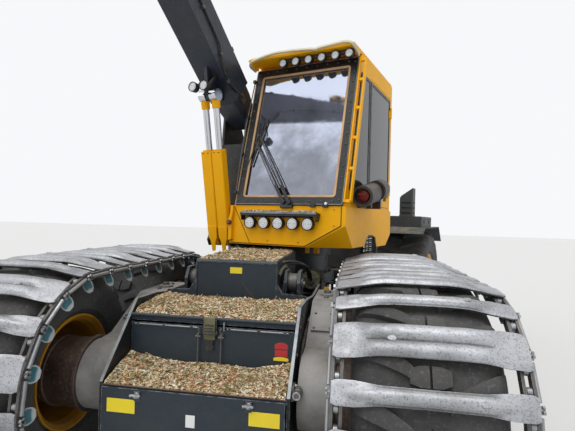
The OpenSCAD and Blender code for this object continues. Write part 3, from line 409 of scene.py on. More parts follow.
class Net:
    """Places shader nodes in a tree and joins them."""

    def __init__(self, tree):
        self.tree = tree

    def add(self, kind, sockets=None, **properties):
        """A node with its properties set, and its inputs set to values or joined to sockets."""
        node = self.tree.nodes.new(kind)
        for key, value in properties.items():
            setattr(node, key, value)
        for key, value in (sockets or {}).items():
            self.feed(node.inputs[key], value)
        return node

    def feed(self, socket, value):
        """Joins a socket, or sets its value."""
        if isinstance(value, bpy.types.NodeSocket):
            self.tree.links.new(value, socket)
        else:
            socket.default_value = value

    def math(self, operation, a, b=0.0, clamp=False):
        """One sum of two values."""
        return self.add("ShaderNodeMath", {0: a, 1: b}, operation=operation, use_clamp=clamp).outputs[0]

    def ramp(self, value, low, high, to_low=0.0, to_high=1.0, smooth=True):
        """A value carried from one range to another and held inside it."""
        kind = "SMOOTHSTEP" if smooth else "LINEAR"
        sockets = {0: value, 1: low, 2: high, 3: to_low, 4: to_high}
        return self.add("ShaderNodeMapRange", sockets, interpolation_type=kind, clamp=True).outputs[0]

    def mix(self, factor, a, b):
        """Two colours mixed by a factor."""
        node = self.add("ShaderNodeMix", {0: factor, 6: a, 7: b}, data_type="RGBA")
        return node.outputs[2]

    def noise(self, scale, detail, rough):
        """Noise on object coordinates, from 0 to 1."""
        where = self.add("ShaderNodeTexCoord").outputs["Object"]
        sockets = {"Vector": where, "Scale": scale, "Detail": detail, "Roughness": rough}
        return self.add("ShaderNodeTexNoise", sockets).outputs["Fac"]


def new_group(name, inputs, outputs):
    """An empty shader node group with named sockets. Gives the tree, its net and its two ends."""
    tree = bpy.data.node_groups.new(name, "ShaderNodeTree")
    for title, kind, default in inputs:
        socket = tree.interface.new_socket(title, in_out="INPUT", socket_type="NodeSocket" + kind)
        if default is not None:
            socket.default_value = default
    for title, kind in outputs:
        tree.interface.new_socket(title, in_out="OUTPUT", socket_type="NodeSocket" + kind)
    net = Net(tree)
    return tree, net, net.add("NodeGroupInput").outputs, net.add("NodeGroupOutput").inputs


def edge_wear_group():
    """Mask of rubbed edges: where the rounded normal leaves the face's own, broken up by noise."""
    tree, net, given, out = new_group("Edge wear", [("Reach", "Float", 0.01), ("Amount", "Float", 1.0)],
                                      [("Mask", "Float")])
    rounded = net.add("ShaderNodeBevel", {"Radius": given["Reach"]}, samples=6).outputs[0]
    plain = net.add("ShaderNodeNewGeometry").outputs["Normal"]
    dot = net.add("ShaderNodeVectorMath", {0: rounded, 1: plain}, operation="DOT_PRODUCT").outputs["Value"]
    bent = net.ramp(net.math("SUBTRACT", 1.0, dot), 0.03, 0.22)
    broken = net.ramp(net.noise(28.0, 6.0, 0.62), 0.40, 0.62)
    net.feed(out["Mask"], net.math("MULTIPLY", net.math("MULTIPLY", bent, broken), given["Amount"], True))
    return tree


def weather_group():
    """Paint varied by slow noise, dust settled on what faces up, and splashed dirt near the ground."""
    inputs = [("Color", "Color", (0.5, 0.5, 0.5, 1)), ("Vary", "Float", 0.15), ("Scale", "Float", 3.0),
              ("Dust Color", "Color", (0.3, 0.25, 0.18, 1)), ("Dust", "Float", 0.3),
              ("Splash Color", "Color", (0.12, 0.09, 0.06, 1)), ("Splash", "Float", 0.5),
              ("Splash Height", "Float", 1.2)]
    tree, net, given, out = new_group("Weather", inputs, [("Color", "Color"), ("Dirt", "Float")])
    slow = net.noise(given["Scale"], 5.0, 0.6)
    fine = net.noise(60.0, 5.0, 0.7)
    dark = net.mix(net.math("MULTIPLY", net.ramp(slow, 0.35, 0.7), given["Vary"]), given["Color"],
                   (0.0, 0.0, 0.0, 1))
    pale = net.mix(net.math("MULTIPLY", net.ramp(fine, 0.52, 0.75),
                            net.math("MULTIPLY", given["Vary"], 0.25)), dark,
                   (0.75, 0.74, 0.72, 1))
    normal = net.add("ShaderNodeSeparateXYZ",
                     {0: net.add("ShaderNodeNewGeometry").outputs["Normal"]}).outputs["Z"]
    patches = net.ramp(net.noise(9.0, 6.0, 0.65), 0.36, 0.66)
    dust = net.math("MULTIPLY", net.math("MULTIPLY", net.ramp(normal, 0.25, 0.95), patches), given["Dust"],
                    True)
    thin = net.math("MULTIPLY", net.ramp(net.noise(4.0, 7.0, 0.7), 0.45, 0.8),
                    net.math("MULTIPLY", given["Dust"], 0.35))
    dust = net.math("MAXIMUM", dust, thin)
    height = net.add("ShaderNodeSeparateXYZ",
                     {0: net.add("ShaderNodeTexCoord").outputs["Object"]}).outputs["Z"]
    low = net.ramp(net.math("DIVIDE", height, given["Splash Height"]), 1.0, 0.1)
    spots = net.ramp(net.noise(14.0, 8.0, 0.72), 0.38, 0.62)
    splash = net.math("MULTIPLY", net.math("MULTIPLY", low, spots), given["Splash"], True)
    net.feed(out["Color"], net.mix(splash, net.mix(dust, pale, given["Dust Color"]), given["Splash Color"]))
    net.feed(out["Dirt"], net.math("MAXIMUM", dust, splash))
    return tree


def grain_group():
    """Fine uneven surface as a normal: noise through a bump."""
    inputs = [("Scale", "Float", 200.0), ("Strength", "Float", 0.3), ("Distance", "Float", 0.001)]
    tree, net, given, out = new_group("Grain", inputs, [("Normal", "Vector")])
    height = net.noise(given["Scale"], 5.0, 0.6)
    bump = net.add("ShaderNodeBump", {"Strength": given["Strength"], "Distance": given["Distance"],
                                      "Height": height})
    net.feed(out["Normal"], bump.outputs[0])
    return tree


GROUPS = {}


def group_node(net, name, sockets):
    """A placed node group, built the first time it is asked for."""
    makers = {"wear": edge_wear_group, "weather": weather_group, "grain": grain_group}
    if name not in GROUPS:
        GROUPS[name] = makers[name]()
    node = net.tree.nodes.new("ShaderNodeGroup")
    node.node_tree = GROUPS[name]
    for key, value in sockets.items():
        net.feed(node.inputs[key], value)
    return node.outputs


DUST, MUD = (150, 132, 100), (86, 74, 58)
STEEL_BARE = (150, 152, 154)
FINISHES = {
    "yellow": dict(color=(246, 178, 0), vary=0.08, dust=0.06, splash=0.15, wear=0.3, worn=(120, 96, 60),
                   shine=0.18),
    "yellow_dull": dict(color=(196, 142, 28), rough=0.5, dust=0.5, splash=0.5, wear=0.5,
                        worn=(150, 140, 120)),
    "rim_yellow": dict(color=(196, 138, 22), splash=0.15, wear=0.8, worn=(214, 164, 52)),
    "slate": dict(color=(44, 54, 63), rough=0.42, vary=0.15, dust=0.35, splash=0.25, wear=0.95,
                  worn=(176, 182, 186), shine=0.35),
    "slate_plate": dict(color=(38, 49, 58), rough=0.42, vary=0.08, dust=0.12, splash=0.15, wear=0.9,
                        worn=(176, 182, 186), shine=0.35),
    "side_plate": dict(color=(27, 29, 31), rough=0.5, vary=0.2, dust=0.25, splash=0.3, wear=0.95,
                       worn=(168, 172, 176), shine=0.3),
    "boom_blue": dict(color=(34, 43, 55), rough=0.38, vary=0.15, wear=0.6, worn=(120, 124, 128), shine=0.4),
    "bogie": dict(color=(148, 146, 143), rough=0.62, vary=0.5, dust=0.12, splash=0.15, wear=0.5,
                  worn=(176, 174, 170)),
    "hub_brown": dict(color=(78, 60, 54), rough=0.5, vary=0.7, dust=0.15, splash=0.2, wear=0.3,
                      worn=(130, 118, 108)),
    "dark": dict(color=(24, 25, 27), rough=0.5, vary=0.3, dust=0.4, splash=0.3, wear=0.4, worn=(90, 90, 90)),
    "black_frame": dict(color=(16, 17, 19), rough=0.42, vary=0.2, wear=0.25, worn=(70, 70, 70)),
    "plastic": dict(color=(22, 22, 24), rough=0.6, vary=0.2, dust=0.3, grain=(900, 0.25)),
    "rubber": dict(color=(72, 72, 72), rough=0.85, vary=0.45, dust=0.08, splash=0.08, wear=0.4,
                   worn=(116, 114, 111), grain=(260, 0.5)),
    "hose": dict(color=(26, 26, 28), rough=0.55, vary=0.3, dust=0.35, grain=(700, 0.3)),
    "steel": dict(color=(158, 160, 164), rough=0.42, metal=0.75, vary=0.3, splash=0.15, wear=0.6,
                  worn=(226, 228, 230), grain=(240, 0.5)),
    # The shoes' cavity colour darkens their low ground and undersides: grime together with painted shade.
    "shoe_steel": dict(color=(178, 180, 185), rough=0.42, metal=0.5, vary=0.45, dust=0.12, splash=0.1,
                       wear=0.6, worn=(236, 238, 240), grain=(150, 0.8), cavity=(40, 39, 38), speck=0.55),
    "steel_dirty": dict(color=(96, 95, 94), rough=0.5, metal=0.5, splash=0.15, wear=0.6, worn=(180, 180, 180),
                        grain=(200, 0.5)),
    "chrome": dict(color=(206, 208, 212), rough=0.12, metal=1.0, vary=0.05, dust=0.06),
    "iron": dict(color=(52, 52, 52), rough=0.65, metal=0.3, dust=0.4, wear=0.3, grain=(120, 0.5)),
    "teal": dict(color=(176, 184, 186), rough=0.42, metal=0.3, dust=0.15, cavity=(50, 106, 118)),
    "seal": dict(color=(206, 166, 122), rough=0.7, vary=0.3),
    "cream": dict(color=(214, 206, 170), rough=0.5, vary=0.25, dust=0.3, wear=0.2),
    "olive": dict(color=(98, 96, 66), rough=0.5, dust=0.3, wear=0.5, worn=(170, 168, 150)),
    "plate_yellow": dict(color=(238, 214, 34), vary=0.1, dust=0.12, wear=0.2, worn=(230, 226, 200)),
    "plate_white": dict(color=(226, 228, 226), vary=0.1, wear=0.2),
    "plate_red": dict(color=(188, 40, 44), vary=0.1, dust=0.15, wear=0.2),
    "bottle_red": dict(color=(122, 22, 18), vary=0.2, wear=0.2),
    "tube_brown": dict(color=(52, 44, 38), vary=0.3, dust=0.25, wear=0.4, worn=(110, 96, 84)),
    "fender_grey": dict(color=(60, 66, 68), rough=0.55, vary=0.25, dust=0.5, splash=0.3, wear=0.5,
                        worn=(140, 144, 146)),
    "cloth": dict(color=(48, 48, 54), rough=0.9, vary=0.2, grain=(1400, 0.9)),
    "stone_cab": dict(color=(92, 92, 94), rough=0.7, vary=0.15, dust=0.15, grain=(600, 0.3)),
    "screen_dark": dict(color=(18, 24, 32), rough=0.12, vary=0.05, dust=0.05),
    "lens": dict(color=(232, 234, 236), rough=0.22, vary=0.04, dust=0.08),
    "cloth_seam": dict(color=(30, 30, 34), rough=0.85, vary=0.1, dust=0.1, grain=(1200, 0.6)),
    "belt": dict(color=(34, 36, 40), rough=0.7, vary=0.1, dust=0.1, grain=(1600, 0.5)),
    "tail_red": dict(color=(150, 12, 14), rough=0.2, vary=0.05, dust=0.1),
    # Near-black strips laid in panel gaps, seams, slots and notches: painted shade of the gaps.
    "painted_gap_shade": dict(color=(22, 17, 10), rough=0.7, vary=0.1, dust=0.1),
    "amber": dict(color=(230, 120, 14), rough=0.2, vary=0.05, dust=0.1),
    "edge_worn": dict(color=(150, 156, 160), metal=0.3, vary=0.6, splash=0.2, grain=(160, 0.5)),
    "edge_rust": dict(color=(112, 84, 72), rough=0.6, vary=0.6, dust=0.3, splash=0.1),
    "lens_ring": dict(color=(150, 154, 158), rough=0.3, vary=0.0, dust=0.05),
    "latch_black": dict(color=(30, 30, 28), rough=0.4, vary=0.2, wear=0.7, worn=(150, 148, 130)),
}


def painted(name, color, rough=0.45, metal=0.0, vary=0.4, dust=0.2, splash=0.0, wear=0.0, worn=STEEL_BARE,
            grain=(500, 0.15), cavity=None, shine=0.5, speck=0.0):
    """A finish from its colour: weathered, rubbed at its edges, with a fine grain.

    A cavity colour fills low tints.
    """
    material = bpy.data.materials.new(name)
    material.use_nodes = True
    net = Net(material.node_tree)
    shader = material.node_tree.nodes["Principled BSDF"]
    shader.inputs["Specular IOR Level"].default_value = shine
    base = srgb(*color)
    # Low tints take the cavity colour; on the track shoes this is grime together with painted shade in their
    # low ground and undersides.
    if cavity:
        tint = net.add("ShaderNodeAttribute", attribute_name="tint").outputs["Fac"]
        base = net.mix(net.ramp(tint, 0.15, 0.62), srgb(*cavity), base)
    if speck:
        spots = net.ramp(net.noise(110.0, 3.0, 0.7), 0.50, 0.66, 0.0, speck)
        base = net.mix(spots, base, srgb(70, 70, 70))
    given = {"Color": base, "Vary": vary, "Scale": 3.0, "Dust Color": srgb(*DUST), "Dust": dust,
             "Splash Color": srgb(*MUD), "Splash": splash, "Splash Height": 1.2}
    weather = group_node(net, "weather", given)
    color_out, dirt = weather["Color"], weather["Dirt"]
    if wear:
        mask = group_node(net, "wear", {"Reach": 0.006, "Amount": wear})["Mask"]
        color_out = net.mix(mask, color_out, srgb(*worn))
    net.feed(shader.inputs["Base Color"], color_out)
    uneven = net.ramp(net.noise(22.0, 5.0, 0.6), 0.3, 0.7, -0.08, 0.1)
    roughness = net.math("ADD", net.math("ADD", uneven, rough), net.math("MULTIPLY", dirt, 0.4), True)
    net.feed(shader.inputs["Roughness"], roughness)
    if metal:
        net.feed(shader.inputs["Metallic"], net.math("MULTIPLY", net.math("SUBTRACT", 1.0, dirt), metal,
                                                     True))
    normal = group_node(net, "grain", {"Scale": float(grain[0]), "Strength": grain[1],
                                       "Distance": 0.0008})["Normal"]
    net.feed(shader.inputs["Normal"], normal)
    return material


def litter_finish():
    """Sawdust, bark and needles: each chip takes its colour from its own tint, the bed from small cells."""
    material = bpy.data.materials.new("litter")
    material.use_nodes = True
    net = Net(material.node_tree)
    shader = material.node_tree.nodes["Principled BSDF"]
    tint = net.add("ShaderNodeAttribute", attribute_name="tint").outputs["Fac"]
    where = net.add("ShaderNodeTexCoord").outputs["Object"]
    cell = net.add("ShaderNodeTexVoronoi", {"Vector": where, "Scale": 120.0}, voronoi_dimensions="3D")
    random = net.add("ShaderNodeSeparateColor", {0: cell.outputs["Color"]}).outputs[0]
    is_bed = net.math("LESS_THAN", tint, 0.0)
    pick = net.add("ShaderNodeMix", {0: is_bed, 2: tint, 3: random}, data_type="FLOAT").outputs[0]
    ramp = net.add("ShaderNodeValToRGB", {0: pick})
    stops = [(0.0, (44, 34, 28)), (0.12, (104, 76, 50)), (0.22, (186, 116, 60)), (0.34, (190, 154, 108)),
             (0.52, (216, 192, 150)), (0.70, (234, 220, 190)), (0.88, (250, 244, 226)),
             (0.95, (124, 128, 66)), (1.0, (88, 104, 46))]
    ramp.color_ramp.elements[0].position, ramp.color_ramp.elements[0].color = stops[0][0], srgb(*stops[0][1])
    last = ramp.color_ramp.elements[1]
    last.position, last.color = stops[-1][0], srgb(*stops[-1][1])
    for position, color in stops[1:-1]:
        ramp.color_ramp.elements.new(position).color = srgb(*color)
    patches = net.ramp(net.noise(7.0, 5.0, 0.6), 0.5, 0.70, 0.0, 0.65)
    green = net.mix(patches, ramp.outputs[0], srgb(112, 116, 62))
    shade = net.mix(net.ramp(net.noise(34.0, 6.0, 0.7), 0.42, 0.7, 0.0, 0.62), green, srgb(66, 50, 34))
    net.feed(shader.inputs["Base Color"], shade)
    shader.inputs["Roughness"].default_value = 0.9
    height = net.add("ShaderNodeTexNoise", {"Vector": where, "Scale": 160.0, "Detail": 6.0}).outputs["Fac"]
    bump = net.add("ShaderNodeBump", {"Strength": 0.7, "Distance": 0.006, "Height": height})
    net.feed(shader.inputs["Normal"], bump.outputs[0])
    return material


def glass_finish(name, color, rough=0.03, metal=0.12, foot=None, film_color=(214, 218, 226), shine=0.5):
    """Tinted glass with a light film of dust. A foot colour darkens it towards its lower edge as a painted
    reflection, pale at the top and darker below.
    """
    material = bpy.data.materials.new(name)
    material.use_nodes = True
    net = Net(material.node_tree)
    shader = material.node_tree.nodes["Principled BSDF"]
    film = net.ramp(net.noise(3.0, 6.0, 0.7), 0.3, 0.8)
    base = srgb(*color)
    # Painted reflection: the glass runs from its pale colour at the top to the foot colour at its lower edge.
    if foot:
        height = net.add("ShaderNodeSeparateXYZ",
                         {0: net.add("ShaderNodeTexCoord").outputs["Object"]}).outputs["Z"]
        uneven = net.math("ADD", height, net.ramp(net.noise(1.6, 5.0, 0.6), 0.25, 0.75, -0.3, 0.3))
        base = net.mix(net.ramp(uneven, 2.15, 2.75), srgb(*foot), srgb(*color))
    net.feed(shader.inputs["Base Color"], net.mix(net.math("MULTIPLY", film, 0.22), base, srgb(*film_color)))
    net.feed(shader.inputs["Roughness"], net.ramp(net.noise(18.0, 7.0, 0.7), 0.35, 0.9, rough, rough + 0.1))
    shader.inputs["Transmission Weight"].default_value = 0.85
    shader.inputs["Metallic"].default_value = metal
    shader.inputs["IOR"].default_value = 1.5
    shader.inputs["Specular IOR Level"].default_value = shine
    return material


MADE = {}


def finish(name):
    """A finish by its name, made the first time it is asked for."""
    if name not in MADE:
        if name == "litter":
            MADE[name] = litter_finish()
        # The windscreen's colour carries a painted reflection, pale above and darker towards its foot.
        elif name == "glass":
            MADE[name] = glass_finish("glass", (196, 203, 222), 0.03, 0.62, (118, 122, 134))
        # Near-black side glass with its reflection turned down: painted shade standing in for the dim inside
        # of the cab.
        elif name == "glass_painted_shade":
            MADE[name] = glass_finish("glass_painted_shade", (24, 27, 24), 0.03, 0.0, None, (40, 43, 38), 0.2)
        else:
            MADE[name] = painted(name, **FINISHES[name])
    return MADE[name]


NODE_FINISH = {
    "front_frame": "slate", "step_box": "slate_plate", "step_sides": "side_plate", "rear_box": "slate_plate",
    "lower_lid": "slate_plate", "upper_lid": "slate_plate",
    "pendulum_arms": "bogie", "pendulum_cylinders": "steel_dirty", "bogie_cases": "bogie",
    "front_rims": "rim_yellow",
    "front_tyres": "rubber", "track_left": "shoe_steel", "track_right": "shoe_steel", "slew_deck": "dark",
    "skirt": "yellow", "cab_shell": "yellow", "cab_roof": "yellow", "screen_frame": "black_frame",
    "cab_glass": "glass",
    "cab_door": "yellow", "door_glass": "glass", "lamps": "plastic", "seat": "cloth", "console": "stone_cab",
    "extinguishers": "tube_brown", "crane_pillar": "dark", "lift_barrels": "yellow", "lift_rods": "chrome",
    "boom": "boom_blue", "jib_barrel": "yellow", "jib_rod": "chrome", "jib": "boom_blue",
    "extension": "steel",
    "swing_link": "dark", "rotator": "dark", "tilt_bracket": "slate", "head_frame": "yellow_dull",
    "knife_left": "steel", "knife_right": "steel", "arm_left": "slate", "arm_right": "slate",
    "feed_left": "steel_dirty", "feed_right": "steel_dirty", "saw_bar": "steel", "rear_frame": "slate",
    "engine": "iron",
    "hood": "dark", "grille": "plastic", "stack": "fender_grey", "tanks": "dark", "fenders": "fender_grey",
    "rear_rim_left": "rim_yellow", "rear_rim_right": "rim_yellow", "rear_tyre_left": "rubber",
    "rear_tyre_right": "rubber", "steer_barrel_left": "yellow", "steer_rod_left": "chrome",
    "steer_barrel_right": "yellow", "steer_rod_right": "chrome",
}


def dress_frame():
    """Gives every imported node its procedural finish."""
    for name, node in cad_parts.items():
        material = finish(NODE_FINISH[name])
        if not node.material_slots:
            node.data.materials.append(material)
        for holder in node.material_slots:
            holder.material = material


# Tracks


def loop_at(s):
    """Place on the track's loop as y, z and turn in degrees: two half circles joined by straights."""
    half = math.pi * LOOP_R
    q = s % LOOP_L
    if q < half:
        a = q / LOOP_R
        return -BOGIE_BASE / 2 - LOOP_R * math.sin(a), WHEEL_Z + LOOP_R * math.cos(a), math.degrees(a)
    if q < half + BOGIE_BASE:
        return -BOGIE_BASE / 2 + q - half, WHEEL_Z - LOOP_R, 180.0
    if q < 2 * half + BOGIE_BASE:
        a = (q - half - BOGIE_BASE) / LOOP_R
        return BOGIE_BASE / 2 + LOOP_R * math.sin(a), WHEEL_Z - LOOP_R * math.cos(a), 180 + math.degrees(a)
    return BOGIE_BASE / 2 - (q - 2 * half - BOGIE_BASE), WHEEL_Z + LOOP_R, 0.0


def shoe(wide):
    """A cast shoe: a bent plate across the tyre with one or two round ridges that fade into flat ends."""
    u = np.linspace(-0.4315, 0.4315, 43)
    v = np.linspace(-1, 1, 15 if wide else 11)
    U, V = np.meshgrid(u, v, indexing="ij")
    far = np.abs(U)
    line = np.interp(far, [0, 0.15, 0.20, 0.33, 0.4315], [0.017, 0.017, 0.014, -0.004, -0.022])
    fade = np.clip((0.335 - far) / 0.09, 0, 1)
    fade = fade * fade * (3 - 2 * fade)
    if wide:
        bump = np.sqrt(np.clip(1 - ((np.abs(V) - 0.53) / 0.44) ** 2, 0, 1))
        pinch = np.clip((0.30 - far) / 0.05, 0, 1)
        rise = fade * (0.018 * bump) - 0.006 * pinch * np.exp(-((V / 0.10) ** 2))
        half = np.interp(far, [0, 0.24, 0.33, 0.41, 0.4315], [0.083, 0.083, 0.090, 0.090, 0.078])
    else:
        width = np.interp(far, [0, 0.22, 0.34], [0.80, 0.70, 0.30])
        bump = np.sqrt(np.clip(1 - (V / width) ** 2, 0, 1))
        fade = np.clip((0.385 - far) / 0.10, 0, 1)
        rise = fade * 0.019 * bump
        half = np.interp(far, [0, 0.22, 0.33, 0.41, 0.4315], [0.040, 0.042, 0.055, 0.055, 0.046])
    edge = 0.006 * np.abs(V) ** 6
    wavy = 0.0015 * waves(U, V * half, 11 if wide else 12, 0.2, 3)
    top = np.stack([U, V * half, line + rise - edge + wavy], -1)
    low = np.stack([U, V * half * 0.97, line - 0.020 + edge * 0.6], -1)
    # Tint for the cavity colour: lighter on the ridge tops and shoe ends, darker on the low ground, darkest
    # on the underside; grime and wear together with painted shade.
    shade = 0.35 + 0.65 * np.clip(rise / 0.014 + np.clip((far - 0.25) / 0.12, 0, 1) * 0.9, 0, 1)
    return slab(top, low), np.concatenate([shade.ravel(), np.full(low.shape[0] * low.shape[1], 0.15)])


def paddle():
    """Guide paddle at a shoe's end: a dished tongue that hangs towards the wheel and flares outwards."""
    s = np.linspace(0, 1, 9)
    w = np.linspace(-1, 1, 9)
    S, W = np.meshgrid(s, w, indexing="ij")
    half = np.interp(S, [0, 0.2, 0.6, 0.85, 1], [0.030, 0.034, 0.047, 0.040, 0.018])
    out = 0.422 + 0.030 * S**1.5
    dish = 0.007 * (1 - W**2) * np.sin(np.pi * np.clip(S, 0, 1))
    y, z = W * half, -0.040 - 0.106 * S
    front = np.stack([out - dish, y, z], -1)
    back = np.stack([out - dish - 0.011, y * 0.93, z + 0.003], -1)
    shade = 0.1 + 0.9 * np.clip((np.maximum(np.abs(W), S) - 0.80) / 0.14, 0, 1)
    return slab(front, back), np.concatenate([shade.ravel(), np.full(front.shape[0] * front.shape[1], 0.2)])


def link_pin(y, z, degrees):
    """Where the pin of a link lies, in from the loop by the links' drop."""
    a = math.radians(degrees)
    return np.array([0, y + LINK_DROP * math.sin(a), z - LINK_DROP * math.cos(a)])


def build_track(side, phase):
    """One bogie track: shoes on the loop, with links, pins and guide paddles along both edges."""
    name = "left" if side > 0 else "right"
    flip = stretch(side, 1, 1)
    piece = Piece(f"track_shoes_{name}", "chassis", "cast_steel", CHASSIS @ flip @ shift(HALF_GAUGE, 0, 0))
    spots = [loop_at(LOOP_L + math.radians(phase) * LOOP_R + i * LOOP_L / SHOES) for i in range(SHOES)]
    places = [shift(0, y, z) @ turn("x", a) for y, z, a in spots]
    for first, wide in ((0, False), (1, True)):
        shell, shade = shoe(wide)
        some = places[first::2]
        piece.add(copies(shell, some), "shoe_steel", tint=np.tile(shade, len(some)))
        knob = lathe([(0.020, 0), (0.020, 0.010), (0.016, 0.015)], 8)
        at = shift(-0.165, 0, 0.012) if wide else shift(0.205, 0, 0.022)
        knob = moved_shell(knob, at @ stretch(1.25, 0.75, 1))
        piece.add(copies(knob, some), "shoe_steel", tint=0.9)
    for edge in (-1, 1):
        tongue, shade = paddle()
        tongue = moved_shell(tongue, stretch(edge, 1, 1))
        piece.add(copies(tongue, places), "teal", tint=np.tile(shade, SHOES))
        # Lugs under each shoe's end that hold the links
        lug = block(0.372, 0.392, -0.020, 0.020, -0.085, -0.030)
        other = block(0.424, 0.436, -0.018, 0.018, -0.080, -0.030)
        for shell in (lug, other):
            piece.add(copies(moved_shell(shell, stretch(edge, 1, 1)), places), "steel_dirty", tint=0.3)
        for i in range(SHOES):
            start, end = link_pin(*spots[i]), link_pin(*spots[(i + 1) % SHOES])
            along_link = (end - start) / np.linalg.norm(end - start)
            middle = (start + end) / 2
            for x in (0.386, 0.428):
                push = np.array([edge * x, 0, 0])
                flat = strip(0.007, 0.021)
                path = [start + push - along_link * 0.012, middle + push, end + push + along_link * 0.012]
                piece.add(sweep(path, flat), "steel_dirty", tint=0.6)
            out = np.array([edge * 0.443, 0, 0])
            rail = sweep([start + out + along_link * 0.03, end + out - along_link * 0.03], circle(0.011, 8))
            piece.add(rail, "steel", tint=0.8)
            for t in (0.30, 0.70):
                spot = start + (end - start) * t
                roll = rod("x", (0, 0, 0), 0.026, 0.022, 12, 0.004)
                piece.add(roll, "steel", shift(edge * 0.407 - 0.013, spot[1], spot[2]), tint=0.9)
            pin = rod("x", (0, 0, 0), 0.092, 0.009, 8)
            piece.add(pin, "steel", shift(edge * 0.407 - 0.046, start[1], start[2]), tint=0.8)
            for a in (45, -45):
                bar = block(-0.005, 0.005, -0.020, 0.020, -0.006, 0.006)
                piece.add(bar, "steel", shift(edge * 0.452, start[1], start[2]) @ turn("x", a + spots[i][2]),
                          tint=0.9)
    return piece.make(replaces=["track_" + name])


# Tyres


def carcass_profile(r, w, rim_r, bead):
    """Half of a tyre's outline as (radius, side), from the bead over the sidewall to the crown's middle."""
    return [(rim_r - 0.022, bead), (rim_r + 0.010, bead + 0.014), (rim_r + 0.022, w * 0.445),
            (rim_r + 0.036, w * 0.462),
            (rim_r + 0.050, w * 0.462), ((rim_r + r) / 2, w * 0.496), (r - 0.095, w * 0.492),
            (r - 0.070, w * 0.478),
            (r - 0.040, w * 0.452), (r - 0.020, w * 0.40), (r - 0.008, w * 0.30), (r - 0.002, w * 0.16),
            (r, 0.0)]


def tyre_shell(r, w, rim_r, bead, sides=96):
    """The tyre's body, the outline mirrored and carried round the X axis."""
    half = carcass_profile(r, w, rim_r, bead)
    profile = half + [(p[0], -p[1]) for p in half[-2::-1]]
    points, faces = ring(profile, sides)
    return moved(points, turn("y", 90)), faces


def tyre_bar(r, w, height, reach, slant, widths, at, side, under=0.012):
    """One tread bar laid on the crown: a slanting strip whose top follows the tyre's outline."""
    s = np.linspace(0, 1, 11)
    v = np.linspace(-1, 1, 5)
    S, V = np.meshgrid(s, v, indexing="ij")
    x = reach[0] + (reach[1] - reach[0]) * S
    arc = at + slant * S**0.8 + V * np.interp(S, [0, 0.5, 1], widths)
    # The outline from the widest part of the sidewall to the crown, read from the middle outwards
    crown = np.array(carcass_profile(r, w, 0.3, 0.2))[5:][::-1]
    skin = np.interp(x, crown[:, 1], crown[:, 0])
    drop = np.interp(x, crown[:, 1], [0, 0, 0, 0.004, 0.012, 0.022, 0.034, 0.05])
    ease = 0.003 * np.abs(V) ** 4
    outer = skin + height - drop * 0.45 - ease
    inner = skin - under
    top = np.stack([side * x, outer * np.sin(arc / r), outer * np.cos(arc / r)], -1)
    foot = at + slant * S**0.8 + V * (np.interp(S, [0, 0.5, 1], widths) + 0.006)
    low = np.stack([side * x, inner * np.sin(foot / r), inner * np.cos(foot / r)], -1)
    return slab(top, low)


def add_front_tyre(piece, place):
    """A forestry tyre with blunt slanting bars to both shoulders and split pads along the crown."""
    r, w = 0.634, 0.700
    piece.add(tyre_shell(r, w, 0.355, 0.279), "rubber", place)
    pitches = 16
    for side in (-1, 1):
        bar = tyre_bar(r, w, 0.033, (0.075, 0.330), 0.115, [0.030, 0.040, 0.050], 0.0, side)
        pad = tyre_bar(r, w, 0.033, (0.006, 0.088), 0.0, [0.046, 0.044, 0.030], -0.012, side)
        for k in range(pitches):
            a = 360 * k / pitches + (180 / pitches if side > 0 else 0)
            piece.add(bar, "rubber", place @ turn("x", a))
            piece.add(pad, "rubber", place @ turn("x", 360 * k / pitches))


def add_rear_tyre(piece, place):
    """A tall lugged tyre: long bars in pairs, set in turn, running down over the shoulders."""
    r, w = 0.764, 0.704
    piece.add(tyre_shell(r, w, 0.450, 0.279), "rubber", place)
    for side in (-1, 1):
        bar = tyre_bar(r, w, 0.035, (0.004, 0.338), 0.150, [0.026, 0.024, 0.034], 0.0, side)
        for k in range(20):
            piece.add(bar, "rubber", place @ turn("x", 18 * k + (9 if side > 0 else 0)))


def build_tyres():
    """The four front tyres as one piece and each rear tyre on its own wheel."""
    piece = Piece("front_tyre_treads", "chassis", "tyre", CHASSIS)
    for side in (-1, 1):
        for y in (-BOGIE_BASE / 2, BOGIE_BASE / 2):
            add_front_tyre(piece, shift(side * HALF_GAUGE, y, WHEEL_Z) @ turn("x", 7 * side + 20 * y))
    piece.make(replaces=["front_tyres"])
    for name, side in (("left", 1), ("right", -1)):
        piece = Piece("rear_tyre_tread_" + name, "rear_wheel_" + name, "tyre", REAR)
        add_rear_tyre(piece, shift(side * HALF_GAUGE, *REAR_AXLE))
        piece.make(replaces=["rear_tyre_" + name])


# Litter on the steps


def chip():
    """A split chip of wood: a thin wedge one unit long."""
    return prism("x", -0.5, 0.5, [(-0.5, -0.5), (0.5, -0.3), (0.1, 0.5)])


def add_chips(piece, rng, count, area, height_at, sizes=(0.012, 0.050), flat=0.38, look=None):
    """Chips strewn over an area: seeded places and turns, mostly lying flat. Look narrows their colours."""
    x = rng.uniform(area[0], area[1], count)
    y = rng.uniform(area[2], area[3], count)
    length = rng.uniform(*sizes, count) * rng.uniform(0.6, 1.0, count)
    width = rng.uniform(0.003, 0.011, count)
    thick = rng.uniform(0.001, 0.004, count)
    turns = turned_by(rng.normal(0, flat, count), rng.normal(0, flat * 0.8, count),
                      rng.uniform(0, 2 * np.pi, count))
    matrices = np.tile(np.eye(4), (count, 1, 1))
    matrices[:, :3, :3] = turns * np.stack([length, width, thick], -1)[:, None, :]
    matrices[:, :3, 3] = np.stack([x, y, height_at(x, y) + rng.uniform(0.0, 0.004, count)], -1)
    tint = rng.beta(1.7, 1.5, count) if look is None else rng.uniform(*look, count)
    green = rng.uniform(0, 1, count) < 0.10
    tint[green] = 0.97
    piece.add(copies(chip(), matrices), "litter", tint=np.repeat(tint, 6))


